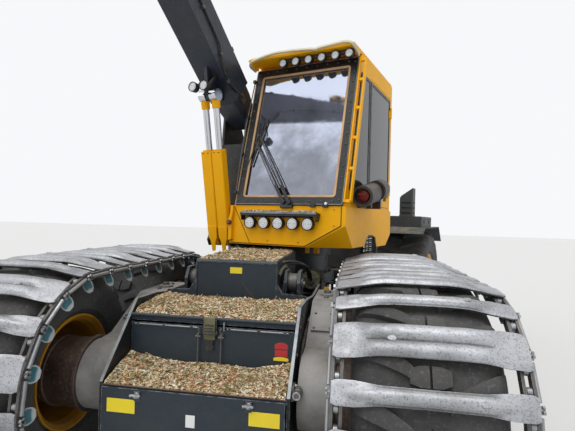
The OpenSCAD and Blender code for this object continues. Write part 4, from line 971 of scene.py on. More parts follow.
def add_bed(piece, area, floor_at, height_at, cells=(120, 70), gaps=(0.0015, 0.0005)):
    """The bed the chips lie on: a closed mound between a height and the floor, each kept off it by a gap."""
    x = np.linspace(area[0], area[1], cells[0])
    y = np.linspace(area[2], area[3], cells[1])
    X, Y = np.meshgrid(x, y, indexing="ij")
    floor = floor_at(Y) if callable(floor_at) else np.full_like(Y, floor_at)
    top = np.stack([X, Y, np.maximum(height_at(X, Y), floor + gaps[0])], -1)
    piece.add(slab(top, np.stack([X, Y, floor + gaps[1]], -1)), "litter", tint=-1.0)


def add_twigs(piece, rng, count, area, height_at, upright=0.15):
    """Thin bent twigs, most lying down and a few sticking up."""
    for _ in range(count):
        x, y = rng.uniform(area[0], area[1]), rng.uniform(area[2], area[3])
        z = float(height_at(np.array(x), np.array(y)))
        length, heading = rng.uniform(0.05, 0.15), rng.uniform(0, 2 * math.pi)
        climb = rng.uniform(0.3, 1.0) if rng.uniform() < upright else rng.uniform(0.0, 0.12)
        lean = np.array([math.cos(heading), math.sin(heading), climb]) * length
        bend = rng.normal(0, 0.010, 3)
        path = [np.array([x, y, z - 0.004]), np.array([x, y, z]) + lean * 0.5 + bend,
                np.array([x, y, z]) + lean]
        path = [np.clip(p, [area[0] + 0.004, area[2] + 0.004, -9],
                        [area[1] - 0.004, area[3] - 0.004, 9]) for p in path]
        piece.add(hose(path, rng.uniform(0.0012, 0.0026), 7, 5), "litter", tint=rng.uniform(0.05, 0.45))


def lower_heap(x, y):
    """Litter on the lower step: thin at the front lip, heaped against the riser and in the corners."""
    back = np.clip((y - STEP1[0]) / (STEP2[0] - STEP1[0]), 0, 1)
    corner = np.clip((np.abs(x) - 0.26) / 0.26, 0, 1)
    heap = 0.010 + 0.052 * back**1.2 + 0.055 * corner**1.5 * back + 0.010 * waves(x, y, 3, 0.3, 4)
    return STEP1[1] + np.clip(heap, 0.002, 0.2)


def middle_heap(x, y):
    """Litter on the middle step: a low mound that rises to the upper box and the side plates."""
    back = np.clip((y - STEP2[0]) / (STEP3[0] - STEP2[0]), 0, 1)
    front = np.clip(back / 0.12, 0, 1)
    side = np.clip((np.abs(x) - 0.30) / 0.22, 0, 1)
    swell = 0.016 + 0.022 * np.sin(np.pi * back * 0.6) + 0.020 * side
    heap = 0.006 + front * swell + 0.010 * waves(x, y, 5, 0.25, 4)
    return STEP2[1] + np.clip(heap, 0.001, 0.2)


def box_top(y):
    """Height of the upper box's lid, which climbs a little to the rear."""
    return np.interp(y, [STEP3[0], STEP3[0] + 0.012, 0.709], [1.384, 1.398, 1.410])


def box_cover(x, y):
    """Thin litter on the upper box, following its lid."""
    return box_top(y) + np.clip(0.006 + 0.012 * waves(x, y, 8, 0.22, 4), 0.0008, 0.05)


def build_litter(seed, amount):
    """Wood chips, needles and twigs on the two steps and the upper box."""
    rng = np.random.default_rng(seed)
    for name, area, floor, heap, chips, twigs, cells, gaps in (
            ("litter_lower_step", (-0.515, 0.515, -1.078, -0.790), STEP1[1], lower_heap, 5200, 34, (120, 70),
             (0.0015, 0.0005)),
            ("litter_middle_step", (-0.515, 0.515, -0.752, -0.262), STEP2[1], middle_heap, 6200, 16,
             (120, 70), (0.0015, 0.0005)),
            ("litter_upper_box", (-0.288, 0.288, -0.242, 0.700), box_top, box_cover, 4200, 8, (70, 100),
             (0.0012, 0.0003))):
        piece = Piece(name, "chassis", "slate_paint", CHASSIS)
        add_bed(piece, area, floor, heap, cells, gaps)
        inner = (area[0] + 0.012, area[1] - 0.012, area[2] + 0.012, area[3] - 0.012)
        add_chips(piece, rng, int(chips * amount), inner, heap)
        add_chips(piece, rng, int(chips * amount / 24), inner, heap, (0.035, 0.080), 0.30, (0.19, 0.30))
        add_twigs(piece, rng, twigs, inner, heap)
        piece.make(sharp=60)


# Fittings on the steps


def plate(x0, x1, z0, z1, y, thick=0.0012, round_top=0.0):
    """A thin plate that faces forwards, its upper corners rounded where asked."""
    if not round_top:
        return block(x0, x1, y - thick, y, z0, z1)
    a = np.linspace(0, np.pi, 13)
    r = round_top
    arc = [((x0 + x1) / 2 + ((x1 - x0) / 2) * math.cos(t), z1 - r + r * math.sin(t)) for t in a]
    return prism("y", y - thick, y, [(x0, z0), (x1, z0), *arc])


def wing_latch():
    """A wing screw on a short stud, its axis along -Y: collar, stud and two rounded wings."""
    parts = [rod("y", (0, -0.010, 0), 0.010, 0.017, 12, 0.002),
             rod("y", (0, -0.030, 0), 0.024, 0.009, 10, 0.002)]
    for side in (-1, 1):
        parts.append(sweep([(0, -0.022, 0), (side * 0.014, -0.025, 0.006), (side * 0.030, -0.028, 0.004)],
                           circle(0.0075, 8)))
    return parts


def build_step_fittings():
    """Plates, latches, handle and rod of the two lids, and the rim of the box behind them."""
    lower = Piece("lower_lid_fittings", "lower_lid", "slate_paint", CHASSIS)
    for x in (-0.400, 0.409):
        lower.add(plate(x - 0.083, x + 0.083, 0.618, 0.694, -1.0985), "plate_yellow")
    lower.add(plate(-0.022, 0.030, 0.575, 0.642, -1.0985), "plate_white")
    for x in (-0.305, 0.326):
        for part in wing_latch():
            lower.add(part, "steel", shift(x, -1.0975, 0.722))
        lower.add(block(x - 0.016, x + 0.016, -1.104, -1.097, 0.690, 0.744), "slate")
    for x in (-0.50, -0.25, 0.0, 0.25, 0.50):
        lower.bolt(shift(x, -1.098, 0.500) @ turn("x", 90), 0.007, 0.004)
    lower.make(bevel=0.0008)

    upper = Piece("upper_lid_fittings", "upper_lid", "slate_paint", CHASSIS)
    y = -0.7845
    upper.add(plate(0.398, 0.478, 0.936, 0.975, y, round_top=0.020), "plate_red")
    upper.add(plate(0.400, 0.476, 0.893, 0.931, y), "plate_red")
    upper.add(plate(0.392, 0.482, 0.866, 0.889, y, round_top=0.009), "plate_yellow")
    # Toggle latch in the middle: base, strap and ribbed lever
    upper.add(block(-0.026, 0.026, y - 0.005, y, 0.896, 1.034), "latch_black")
    upper.add(block(-0.019, 0.019, y - 0.017, y - 0.004, 0.902, 0.985), "latch_black")
    lever = [(y - 0.006, 0.962), (y - 0.024, 0.968), (y - 0.034, 1.000), (y - 0.036, 1.050),
             (y - 0.028, 1.098), (y - 0.018, 1.104), (y - 0.014, 1.060), (y - 0.010, 1.020)]
    upper.add(prism("x", -0.034, 0.034, lever), "olive")
    for k in range(4):
        z = 1.000 + 0.018 * k
        upper.add(block(-0.030, 0.030, y - 0.040, y - 0.033, z, z + 0.008), "latch_black")
    for x in (-0.040, 0.040):
        upper.add(rod("x", (x - 0.006, y - 0.016, 1.010), 0.012, 0.010, 10, 0.002), "steel_dirty")
        upper.add(block(x - 0.003, x + 0.003, y - 0.026, y, 0.998, 1.090), "latch_black")
    # Wire handle that hangs from two eye bolts
    top, low, out = 1.004, 0.806, y - 0.022
    wire = [(-0.072, out, top), (-0.072, out - 0.002, 0.90), (-0.071, out - 0.004, low + 0.02),
            (-0.058, out - 0.005, low), (0.0, out - 0.006, low - 0.002), (0.058, out - 0.005, low),
            (0.071, out - 0.004, low + 0.02), (0.072, out - 0.002, 0.90), (0.072, out, top)]
    upper.add(hose(wire, 0.0045, 60, 8), "steel_dirty")
    for side in (-1, 1):
        upper.add(rod("y", (side * 0.072, y - 0.030, 0.996), 0.030, 0.0075, 10, 0.001), "steel_dirty")
        upper.add(rod("x", (side * 0.072 - 0.016, y - 0.022, 0.984), 0.032, 0.007, 10, 0.001), "steel_dirty")
        upper.bolt(shift(side * 0.072, y, 0.996) @ turn("x", 90), 0.012, 0.008)
        upper.add(hose([(side * 0.072, out, 1.012), (side * 0.066, out - 0.004, 1.030),
                        (side * 0.074, out, 1.040)],
                       0.004, 8, 6), "steel_dirty")
    # Lock rod along the upper edge, in two lengths, with its upright pin
    upper.add(rod("x", (0.105, y - 0.009, 1.034), 0.375, 0.0048, 8), "steel")
    upper.add(rod("x", (-0.492, y - 0.009, 1.034), 0.410, 0.0048, 8), "steel")
    upper.add(rod("z", (0.086, y - 0.012, 1.022), 0.052, 0.0045, 8, 0.001), "steel")
    for x in (0.12, 0.30, 0.46, -0.12, -0.30, -0.47):
        upper.add(block(x - 0.010, x + 0.010, y - 0.014, y, 1.028, 1.040), "slate")
    upper.make(bevel=0.0008)

    rest = Piece("step_fittings", "chassis", "slate_paint", CHASSIS)
    # Lid of the rear box: a thin plate with its turned-down rim
    rim = 0.305
    rest.add(prism("x", -rim, rim, [(-0.262, 1.376), (-0.262, 1.384), (-0.245, 1.400), (0.709, 1.412),
                                    (0.709, 1.4095), (-0.244, 1.3972), (-0.2575, 1.3845), (-0.2575, 1.376)]),
                                    "slate_plate")
    for side in (-1, 1):
        edge = span(side, rim, 0.3005)
        rest.add(prism("x", edge[0], edge[1], [(-0.262, 1.370), (-0.262, 1.384), (-0.245, 1.400),
                                               (0.709, 1.412), (0.709, 1.384)]), "slate_plate")
        rest.add(block(*span(side, 0.296, 0.306), -0.266, -0.256, 1.066, 1.376), "slate_plate")
    rest.add(plate(-0.045, 0.045, 1.302, 1.346, -0.2575), "plate_yellow")
    # Walls behind the middle step, from the side plates to the box
    for side in (-1, 1):
        wall = [(0.5235, 1.070), (0.5235, 1.158), (0.345, 1.170), (0.306, 1.236), (0.306, 1.070)]
        rest.add(prism("y", -0.266, -0.259, [(side * a, b) for a, b in wall]), "slate_plate")
        lip = [(side * a, -0.262, b) for a, b in ((0.520, 1.160), (0.348, 1.172), (0.309, 1.238))]
        rest.add(sweep(lip, strip(0.005, 0.004)), "slate_plate")
        rest.bolt(shift(side * 0.400, -0.266, 1.128) @ turn("x", 90), 0.011, 0.007, "steel")
        # Worn steel edging on the side plates
        edging = [(-1.084, 0.770), (-0.705, 1.170), (-0.430, 1.165), (0.100, 1.105), (0.709, 1.115)]
        path = np.array([(side * 0.532, a, b + 0.001) for a, b in edging])
        rest.add(sweep(path, [(-0.0095, -0.003), (0.0095, -0.003), (0.0080, 0.003), (-0.0080, 0.003)]),
                 "edge_worn")
        for y, z in ((-0.98, 0.80), (-0.86, 0.93), (-0.74, 1.06), (-0.60, 1.10), (-0.98, 0.52),
                     (-0.86, 0.44)):
            rest.bolt(shift(side * 0.540, y, z) @ turn("y", side * 90), 0.012, 0.008)
    rest.add(sweep([(-0.520, -1.0845, 0.7615), (0.520, -1.0845, 0.7615)],
                   [(-0.003, -0.003), (0.003, -0.003), (0.003, 0.002), (-0.003, 0.002)]), "edge_rust")
    # Coupling on the left side plate, with its hose
    at = (0.572, -1.070, 0.783)
    for start, length, radius in ((0, 0.030, 0.022), (0.028, 0.040, 0.027), (0.066, 0.030, 0.020),
                                  (0.094, 0.020, 0.024)):
        rest.add(rod("y", (at[0], at[1] + start, at[2]), length, radius, 20, 0.003), "steel_dirty")
    rest.add(ring([(0.015, -0.002), (0.022, -0.002), (0.022, 0.004), (0.015, 0.004)], 20), "steel",
             shift(at[0], at[1], at[2]) @ turn("x", -90))
    rest.add(block(0.540, 0.556, at[1] + 0.022, at[1] + 0.090, 0.745, 0.822), "steel_dirty")
    for z in (0.752, 0.815):
        rest.bolt(shift(0.556, at[1] + 0.056, z) @ turn("y", 90), 0.010, 0.012, "steel")
    rest.add(hose([(0.572, -0.960, 0.783), (0.572, -0.90, 0.785), (0.556, -0.80, 0.86), (0.553, -0.66, 0.94),
                   (0.552, -0.50, 0.98), (0.552, -0.34, 1.00)], 0.011, 40, 10), "hose")
    rest.make(bevel=0.0008)


# Running gear


def build_running_gear():
    """Bolts, drums, caps, covers and eyes of the pendulum arms, bogie cases and front hubs."""
    piece = Piece("bogie_fittings", "chassis", "dark_paint", CHASSIS)
    for side in (-1, 1):
        for y in (-0.849 + 0.060, 0.849 - 0.060):
            # Hub flange on the case, its bolts, and the drum
            for r, x0, x1 in ((0.232, CASE_FACE, CASE_FACE + 0.022), (0.2125, CASE_FACE, CASE_FACE + 0.260),
                              (0.220, CASE_FACE + 0.215, CASE_FACE + 0.240)):
                piece.add(rod("x", (min(side * x0, side * x1), y, WHEEL_Z), x1 - x0, r, 48, 0.004),
                          "hub_brown")
            for c, d in on_circle(0.219, 16):
                spot = shift(side * (CASE_FACE + 0.022), y + c, WHEEL_Z + d)
                piece.bolt(spot @ turn("y", side * 90), 0.010, 0.010)
            # Wheel nuts on the disc and bolts of the hub cap
            for c, d in on_circle(0.170, 12, 0.5):
                spot = shift(side * 1.2592, y + c, WHEEL_Z + d)
                piece.bolt(spot @ turn("y", side * 90), 0.017, 0.022)
            for c, d in on_circle(0.100, 8):
                spot = shift(side * 1.263, y + c, WHEEL_Z + d)
                piece.bolt(spot @ turn("y", side * 90), 0.010, 0.008, "steel")
            cap = lathe([(0.080, 0), (0.080, 0.012), (0.062, 0.020)], 32)
            piece.add(moved_shell(cap, shift(side * 1.263, y, WHEEL_Z) @ turn("y", side * 90)), "hub_brown")
            # Turned rings inside the rim, and its valve
            for x in (0.905, 0.935):
                out = [(0.3445, 0), (0.352, 0.004), (0.352, 0.012), (0.3445, 0.016)]
                piece.add(moved_shell(ring(out, 64), shift(side * x, y, WHEEL_Z) @ turn("y", side * 90)),
                          "rim_yellow")
        # Covers on the case: a bolted plate and a filler block on top
        for y in (-0.44, 0.44):
            piece.add(block(*span(side, CASE_FACE - 0.004, CASE_FACE + 0.010), y - 0.13, y + 0.13, 0.60,
                            0.88),
                      "bogie")
            for dy in (-0.11, 0.0, 0.11):
                for z in (0.62, 0.86):
                    spot = shift(side * (CASE_FACE + 0.010), y + dy, z) @ turn("y", side * 90)
                    piece.bolt(spot, 0.010, 0.008)
        slope = math.degrees(math.atan2(1.135 - 0.921, 0.639 - 0.250))
        for y, a in ((-0.445, slope), (0.445, -slope)):
            at = shift(side * CASE_MIDDLE, y, 1.028) @ turn("x", a)
            piece.add(block(-0.070, 0.070, -0.090, 0.090, -0.012, 0.016), "bogie", at)
            for dx in (-0.052, 0.052):
                for dy in (-0.070, 0.070):
                    piece.bolt(at @ shift(dx, dy, 0.016), 0.009, 0.008)
        piece.add(rod("z", (side * CASE_MIDDLE, 0.0, 1.130), 0.022, 0.055, 24, 0.004), "bogie")
        piece.bolt(shift(side * CASE_MIDDLE, 0, 1.152), 0.028, 0.020)
        for y in (-0.120, 0.120):
            piece.bolt(shift(side * CASE_MIDDLE, y, 1.135), 0.018, 0.014)
        # Lashing eye at each end of the case, on a short rib
        for end in (-1, 1):
            eye = ring([(0.034, -0.024), (0.074, -0.024), (0.080, -0.014), (0.080, 0.014), (0.074, 0.024),
                        (0.034, 0.024)], 32)
            at = shift(side * 0.690, end * 0.878, 0.752)
            piece.add(moved_shell(eye, at @ turn("y", 90)), "hub_brown")
            rib = [(end * 0.840, 0.640), (end * 0.840, 0.860), (end * 0.862, 0.826), (end * 0.846, 0.752),
                   (end * 0.862, 0.678)]
            piece.add(prism("x", *span(side, 0.668, 0.712), rib), "hub_brown")
        # Pendulum arm: bolts round its pin, and pin heads of the cylinder
        for c, d in on_circle(0.120, 10):
            spot = shift(side * 0.500, 0.900 + c, 0.760 + d)
            piece.bolt(spot @ turn("y", side * 90), 0.012, 0.010)
        for x, push in ((0.452, 1), (0.330, -1)):
            flat = moved_shell(lathe([(0.040, 0), (0.040, 0.010), (0.034, 0.014)], 20),
                               shift(side * x, 0, 1.215) @ turn("y", side * push * 90))
            piece.add(flat, "steel_dirty")
            spot = shift(side * (x + push * 0.014), 0, 1.215) @ turn("y", side * push * 90)
            piece.bolt(spot, 0.013, 0.010, "steel")
        # Round rubbing rings of the cylinder's eye
        for x in (0.358, 0.424):
            eye = ring([(0.036, -0.006), (0.078, -0.006), (0.078, 0.006), (0.036, 0.006)], 32)
            piece.add(moved_shell(eye, shift(side * x, 0, 1.215) @ turn("y", 90)), "dark")
    piece.make(bevel=0.0)


def build_hoses():
    """Hoses from the rear box to the frame, the damper beside the slewing ring, and the pedestal's bolts."""
    piece = Piece("front_hoses", "chassis", "slate_paint", CHASSIS)
    arches = [([(0.296, -0.050, 1.375), (0.330, 0.060, 1.372), (0.392, 0.240, 1.352), (0.430, 0.420, 1.300),
                (0.440, 0.620, 1.180), (0.425, 0.800, 1.090)], 0.0105),
              ([(0.296, -0.010, 1.340), (0.345, 0.120, 1.350), (0.415, 0.300, 1.330), (0.455, 0.470, 1.270),
                (0.462, 0.640, 1.160), (0.450, 0.800, 1.080)], 0.0105),
              ([(0.302, -0.180, 1.290), (0.312, -0.080, 1.330), (0.318, 0.080, 1.325), (0.325, 0.300, 1.240),
                (0.345, 0.520, 1.130), (0.370, 0.760, 1.075)], 0.013),
              ([(-0.296, 0.050, 1.330), (-0.345, 0.180, 1.335), (-0.410, 0.380, 1.290),
                (-0.440, 0.560, 1.190), (-0.430, 0.800, 1.085)], 0.0105)]
    for k, (path, radius) in enumerate(arches):
        piece.add(hose(path, radius, 48, 12), "hose" if k != 2 else "olive")
        for end, ahead in ((path[0], path[1]), (path[-1], path[-2])):
            a, b = np.array(end), np.array(ahead)
            aim = (b - a) / np.linalg.norm(b - a)
            piece.add(sweep([a - aim * 0.004, a + aim * 0.050], circle(radius * 1.35, 12)), "steel_dirty")
    # Damper on the frame beside the slewing ring
    for start, length, radius, look in ((0.665, 0.030, 0.086, "olive"), (0.690, 0.180, 0.076, "olive"),
                                        (0.866, 0.034, 0.086, "olive"), (0.650, 0.018, 0.040, "steel_dirty")):
        piece.add(rod("y", (0.452, start, 1.150), length, radius, 32, 0.006), look)
    for c, d in on_circle(0.066, 6, 0.5):
        spot = shift(0.452 + c, 0.665, 1.150 + d) @ turn("x", 90)
        piece.bolt(spot, 0.011, 0.012, "steel")
    for x in (0.300, 0.345, -0.300, -0.345):
        piece.add(block(x - 0.014, x + 0.014, 0.760, 0.790, 1.060, 1.180), "slate")
    # Bolt ring of the pedestal
    for c, d in on_circle(0.585, 36):
        piece.bolt(shift(c, 1.530 + d, 1.150), 0.014, 0.014)
    for side in (-1, 1):
        for y in (1.20, 1.40, 1.62, 1.84):
            piece.bolt(shift(side * 0.48, y, 1.080), 0.018, 0.014)
    piece.make()


# Cab


SCREEN_FOOT = (-0.800, 1.833)
SCREEN_RUN = (0.367, 1.417)
SCREEN_L = math.hypot(*SCREEN_RUN)


def on_screen():
    """Frame of the windscreen: X across, Y up the slope, Z out of it, from its lower edge."""
    c, s = SCREEN_RUN[0] / SCREEN_L, SCREEN_RUN[1] / SCREEN_L
    matrix = np.eye(4)
    matrix[:3, 1] = 0, c, s
    matrix[:3, 2] = 0, -s, c
    matrix[:3, 3] = 0, SCREEN_FOOT[0], SCREEN_FOOT[1]
    return matrix


def band(points, width, thick):
    """A flat band along a closed run of corners in the XY plane, mitred by offsetting each corner."""
    p = np.asarray(points, float)
    before, after = np.roll(p, 1, 0), np.roll(p, -1, 0)
    d0 = (p - before) / np.linalg.norm(p - before, axis=1, keepdims=True)
    d1 = (after - p) / np.linalg.norm(after - p, axis=1, keepdims=True)
    n0, n1 = np.stack([-d0[:, 1], d0[:, 0]], 1), np.stack([-d1[:, 1], d1[:, 0]], 1)
    mitre = (n0 + n1) / (1 + np.einsum("ij,ij->i", n0, n1))[:, None]
    inner = p + mitre * width
    k = len(p)
    low, high = np.zeros((k, 1)), np.full((k, 1), thick)
    points = np.concatenate([np.hstack([p, low]), np.hstack([inner, low]), np.hstack([inner, high]),
                             np.hstack([p, high])])
    return points, [quads(4, k, True, True)]


def round_corners(x0, x1, y0, y1, r, steps=5):
    """Corners of a rectangle, each rounded by an arc, running against the clock."""
    run = []
    for cx, cy, start in ((x1 - r, y0 + r, -90), (x1 - r, y1 - r, 0), (x0 + r, y1 - r, 90),
                          (x0 + r, y0 + r, 180)):
        for k in range(steps):
            a = math.radians(start + 90 * k / (steps - 1))
            run.append((cx + r * math.cos(a), cy + r * math.sin(a)))
    return run


def work_lamp(radius, depth):
    """A round work lamp that shines along -Y: finned body, bezel, reflector dish and glass."""
    body = lathe([(radius * 0.55, 0), (radius * 0.80, depth * 0.18), (radius * 0.98, depth * 0.45),
                  (radius, depth * 0.92)], 28)
    fins = [rod("z", (0, 0, depth * (0.16 + 0.10 * k)), depth * 0.035, radius * 0.96, 28) for k in range(4)]
    bezel = ring([(radius * 0.84, depth * 0.90), (radius * 1.02, depth * 0.88), (radius * 1.02, depth * 1.02),
                  (radius * 0.88, depth * 1.03)], 28)
    lens = lathe([(radius * 0.86, depth * 0.90), (radius * 0.86, depth * 0.96), (radius * 0.5, depth * 0.985),
                  (radius * 0.1, depth * 0.99)], 28)
    turned = turn("x", 90)
    top = depth * 1.002
    cluster = [ring([(r, depth * 0.96), (r + radius * 0.05, depth * 0.96), (r + radius * 0.05, top),
                     (r, top)], 24)
               for r in (radius * 0.30, radius * 0.62)]
    cluster += [block(-radius * 0.78, radius * 0.78, -radius * 0.02, radius * 0.02, depth * 0.96, top)]
    return ([moved_shell(part, turned) for part in [body, bezel] + fins], moved_shell(lens, turned),
            [moved_shell(part, turned) for part in cluster])


def add_lamp(piece, place, radius, depth):
    """Adds a work lamp to a piece."""
    black, lens, spots = work_lamp(radius, depth)
    for part in black:
        piece.add(part, "plastic", place)
    piece.add(lens, "lens", place)
    for part in spots:
        piece.add(part, "lens_ring", place)


def build_cab_front():
    """Bolts and seal of the windscreen, wipers, lamps with their shelf, and the panel lines below."""
    piece = Piece("screen_fittings", "upper", "dark_paint", UPPER @ on_screen())
    x0, x1, t0, t1 = 0.010, 0.965, 0.075, SCREEN_L - 0.085
    corners = round_corners(x0 - 0.001, x1 + 0.001, t0 - 0.001, t1 + 0.001, 0.030)
    piece.add(moved_shell(band(corners, 0.020, 0.012), shift(0, 0, 0.0125)), "seal")
    outer = round_corners(-0.062, 1.037, 0.006, SCREEN_L - 0.004, 0.012)
    piece.add(moved_shell(band(outer, 0.005, 0.004), shift(0, 0, 0.0215)), "edge_worn")
    bolt = lathe([(0.0085, 0), (0.0085, 0.003), (0.006, 0.0065), (0.002, 0.008)], 10)
    spots = [(x, t) for t in np.linspace(0.05, SCREEN_L - 0.05, 14) for x in (-0.030, 1.004)]
    spots += [(x, t) for x in np.linspace(0.06, 0.94, 9) for t in (0.036, SCREEN_L - 0.040)]
    piece.add(copies(bolt, [shift(x, t, 0.022) for x, t in spots]), "steel_dirty")
    # Two wiper arms on spindles at the lower edge, parked to the crane's side
    for k, (foot, tip) in enumerate((((0.470, 0.020), (0.060, 0.640)), ((0.530, 0.016), (0.105, 0.690)))):
        a, b = np.array([*foot, 0.050]), np.array([*tip, 0.034])
        aim = (b - a) / np.linalg.norm(b - a)
        side = np.array([-aim[1], aim[0], 0])
        piece.add(rod("z", (*foot, 0.020), 0.040, 0.020, 16, 0.003), "plastic")
        for push in (-0.010, 0.010):
            piece.add(sweep([a + side * push, a + aim * 0.3 + side * push + [0, 0, 0.010],
                             b + side * push * 0.4],
                            circle(0.0050, 8)), "black_frame")
        piece.add(sweep([a + aim * 0.02, a + aim * 0.20],
                        [(-0.014, -0.006), (0.014, -0.006), (0.010, 0.006), (-0.010, 0.006)]),
                  "black_frame")
        blade = np.array([0.22, 0.975, 0]) if k == 0 else np.array([0.20, 0.98, 0])
        low, high = b - blade * 0.30, b + blade * 0.22
        low[2] = high[2] = 0.014
        piece.add(sweep([low, high], [(-0.006, -0.012), (0.006, -0.012), (0.004, 0.004), (-0.004, 0.004)]),
                  "rubber")
        piece.add(sweep([low + [0, 0, 0.008], b * [1, 1, 0] + [0, 0, 0.032], high + [0, 0, 0.008]],
                        circle(0.004, 6)),
                  "black_frame")
    # Motor cover of the wipers and two small stops at the frame's lower edge
    piece.add(block(0.440, 0.560, -0.030, 0.010, 0.004, 0.040), "black_frame")
    for x in (0.760, 0.880):
        piece.add(block(x - 0.026, x + 0.026, -0.018, 0.012, 0.010, 0.034), "plastic")
    piece.add(rod("z", (0.890, 0.010, 0.020), 0.026, 0.013, 12, 0.003), "lens")
    # Sprung guard on the crane's side of the frame: rod with clips
    piece.add(hose([(-0.074, 0.10, 0.030), (-0.078, 0.45, 0.046), (-0.080, 0.86, 0.046),
                    (-0.074, 1.34, 0.030)], 0.006, 30, 8),
              "steel_dirty")
    for t in (0.12, 0.52, 0.92, 1.33):
        piece.add(block(-0.090, -0.060, t - 0.016, t + 0.016, 0.016, 0.050), "black_frame")
    piece.make(bevel=0.0006)

    lamps = Piece("work_lamps", "upper", "black_plastic", UPPER)
    for k in range(5):
        add_lamp(lamps, shift(0.130 + 0.150 * k, -0.808, 1.668), 0.0560, 0.062)
        lamps.add(block(0.118 + 0.150 * k, 0.142 + 0.150 * k, -0.846, -0.812, 1.716, 1.746), "plastic")
    lamps.add(block(0.100, 0.760, -0.830, -0.8085, 1.722, 1.740), "plastic")
    for k in range(6):
        add_lamp(lamps, shift(0.300 + 0.137 * k, -0.535, 3.245), 0.0395, 0.066)
        lamps.add(block(0.288 + 0.137 * k, 0.312 + 0.137 * k, -0.578, -0.536, 3.278, 3.2955), "plastic")
    lamps.add(block(0.245, 1.018, -0.560, -0.534, 3.258, 3.2955), "tube_brown")
    lamps.make(replaces=["lamps"])

    shelf = Piece("lamp_shelf_cover", "upper", "dark_paint", UPPER)
    tray = [(0.048, 1.736), (0.812, 1.736), (0.812, 1.770), (0.048, 1.770)]
    shelf.add(prism("y", -0.880, -0.804, tray), "black_frame")
    shelf.add(prism("y", -0.884, -0.876, [(0.040, 1.756), (0.820, 1.756), (0.820, 1.772), (0.040, 1.772)]),
              "edge_worn")
    for x in (0.048, 0.812):
        push = 0.020 if x > 0.4 else -0.020
        shelf.add(prism("y", -0.876, -0.806, [(x, 1.740), (x + push * 0.1, 1.764), (x + push, 1.764),
                                              (x + push * 0.3, 1.690), (x, 1.690)]), "black_frame")
    def cover(x, y):
        return 1.771 + np.clip(0.012 + 0.008 * waves(x, y, 21, 0.16, 4) - 0.10 * np.abs(y + 0.842), 0.0008,
                               0.05)
    rng = np.random.default_rng(77)
    heap = Piece("litter_lamp_shelf", "upper", "slate_paint", UPPER)
    add_bed(heap, (0.060, 0.800, -0.874, -0.809), 1.7702, cover, (90, 10))
    add_chips(heap, rng, 420, (0.066, 0.794, -0.870, -0.813), cover, (0.008, 0.024))
    heap.make(sharp=60)
    shelf.make(bevel=0.0008)

    skin = Piece("front_panel_lines", "upper", "yellow_paint", UPPER)
    y = -0.8085
    # Panel lines as near-black strips: painted shade in the gaps between the panels.
    for path, half in (([(-0.085, 1.826), (0.105, 1.470)], 0.003), ([(-0.120, 1.468), (0.690, 1.468)], 0.007),
                       ([(0.686, 1.468), (1.028, 1.662)], 0.009), ([(1.026, 1.656), (1.026, 1.826)], 0.004)):
        line = [(x, y + 0.0015, z) for x, z in path]
        skin.add(sweep(line, strip(half, 0.003)), "painted_gap_shade")
    for x, z in ((-0.105, 1.80), (-0.105, 1.50), (0.62, 1.50), (0.96, 1.66), (0.96, 1.80), (0.30, 1.50)):
        skin.bolt(shift(x, y + 0.001, z) @ turn("x", 90), 0.009, 0.006, "yellow_dull")
    # Standing flange at the crane's side with its hook, and the posts under the skirt
    flange = [(-0.127, 1.488), (-0.088, 1.500), (-0.092, 1.700), (-0.078, 1.760), (-0.078, 1.826),
              (-0.098, 1.826), (-0.112, 1.740), (-0.127, 1.700)]
    skin.add(prism("y", y - 0.034, y + 0.001, flange), "yellow")
    skin.add(rod("y", (-0.108, y - 0.060, 1.664), 0.028, 0.024, 20, 0.004), "tube_brown")
    skin.add(rod("y", (-0.108, y - 0.066, 1.664), 0.010, 0.011, 12, 0.002), "plate_red")
    for x0, x1, yy in ((0.585, 0.617, -0.560), (0.660, 0.708, -0.530)):
        skin.add(block(x0, x1, yy - 0.016, yy + 0.016, 1.388, 1.520), "yellow")
    skin.make(bevel=0.0008)


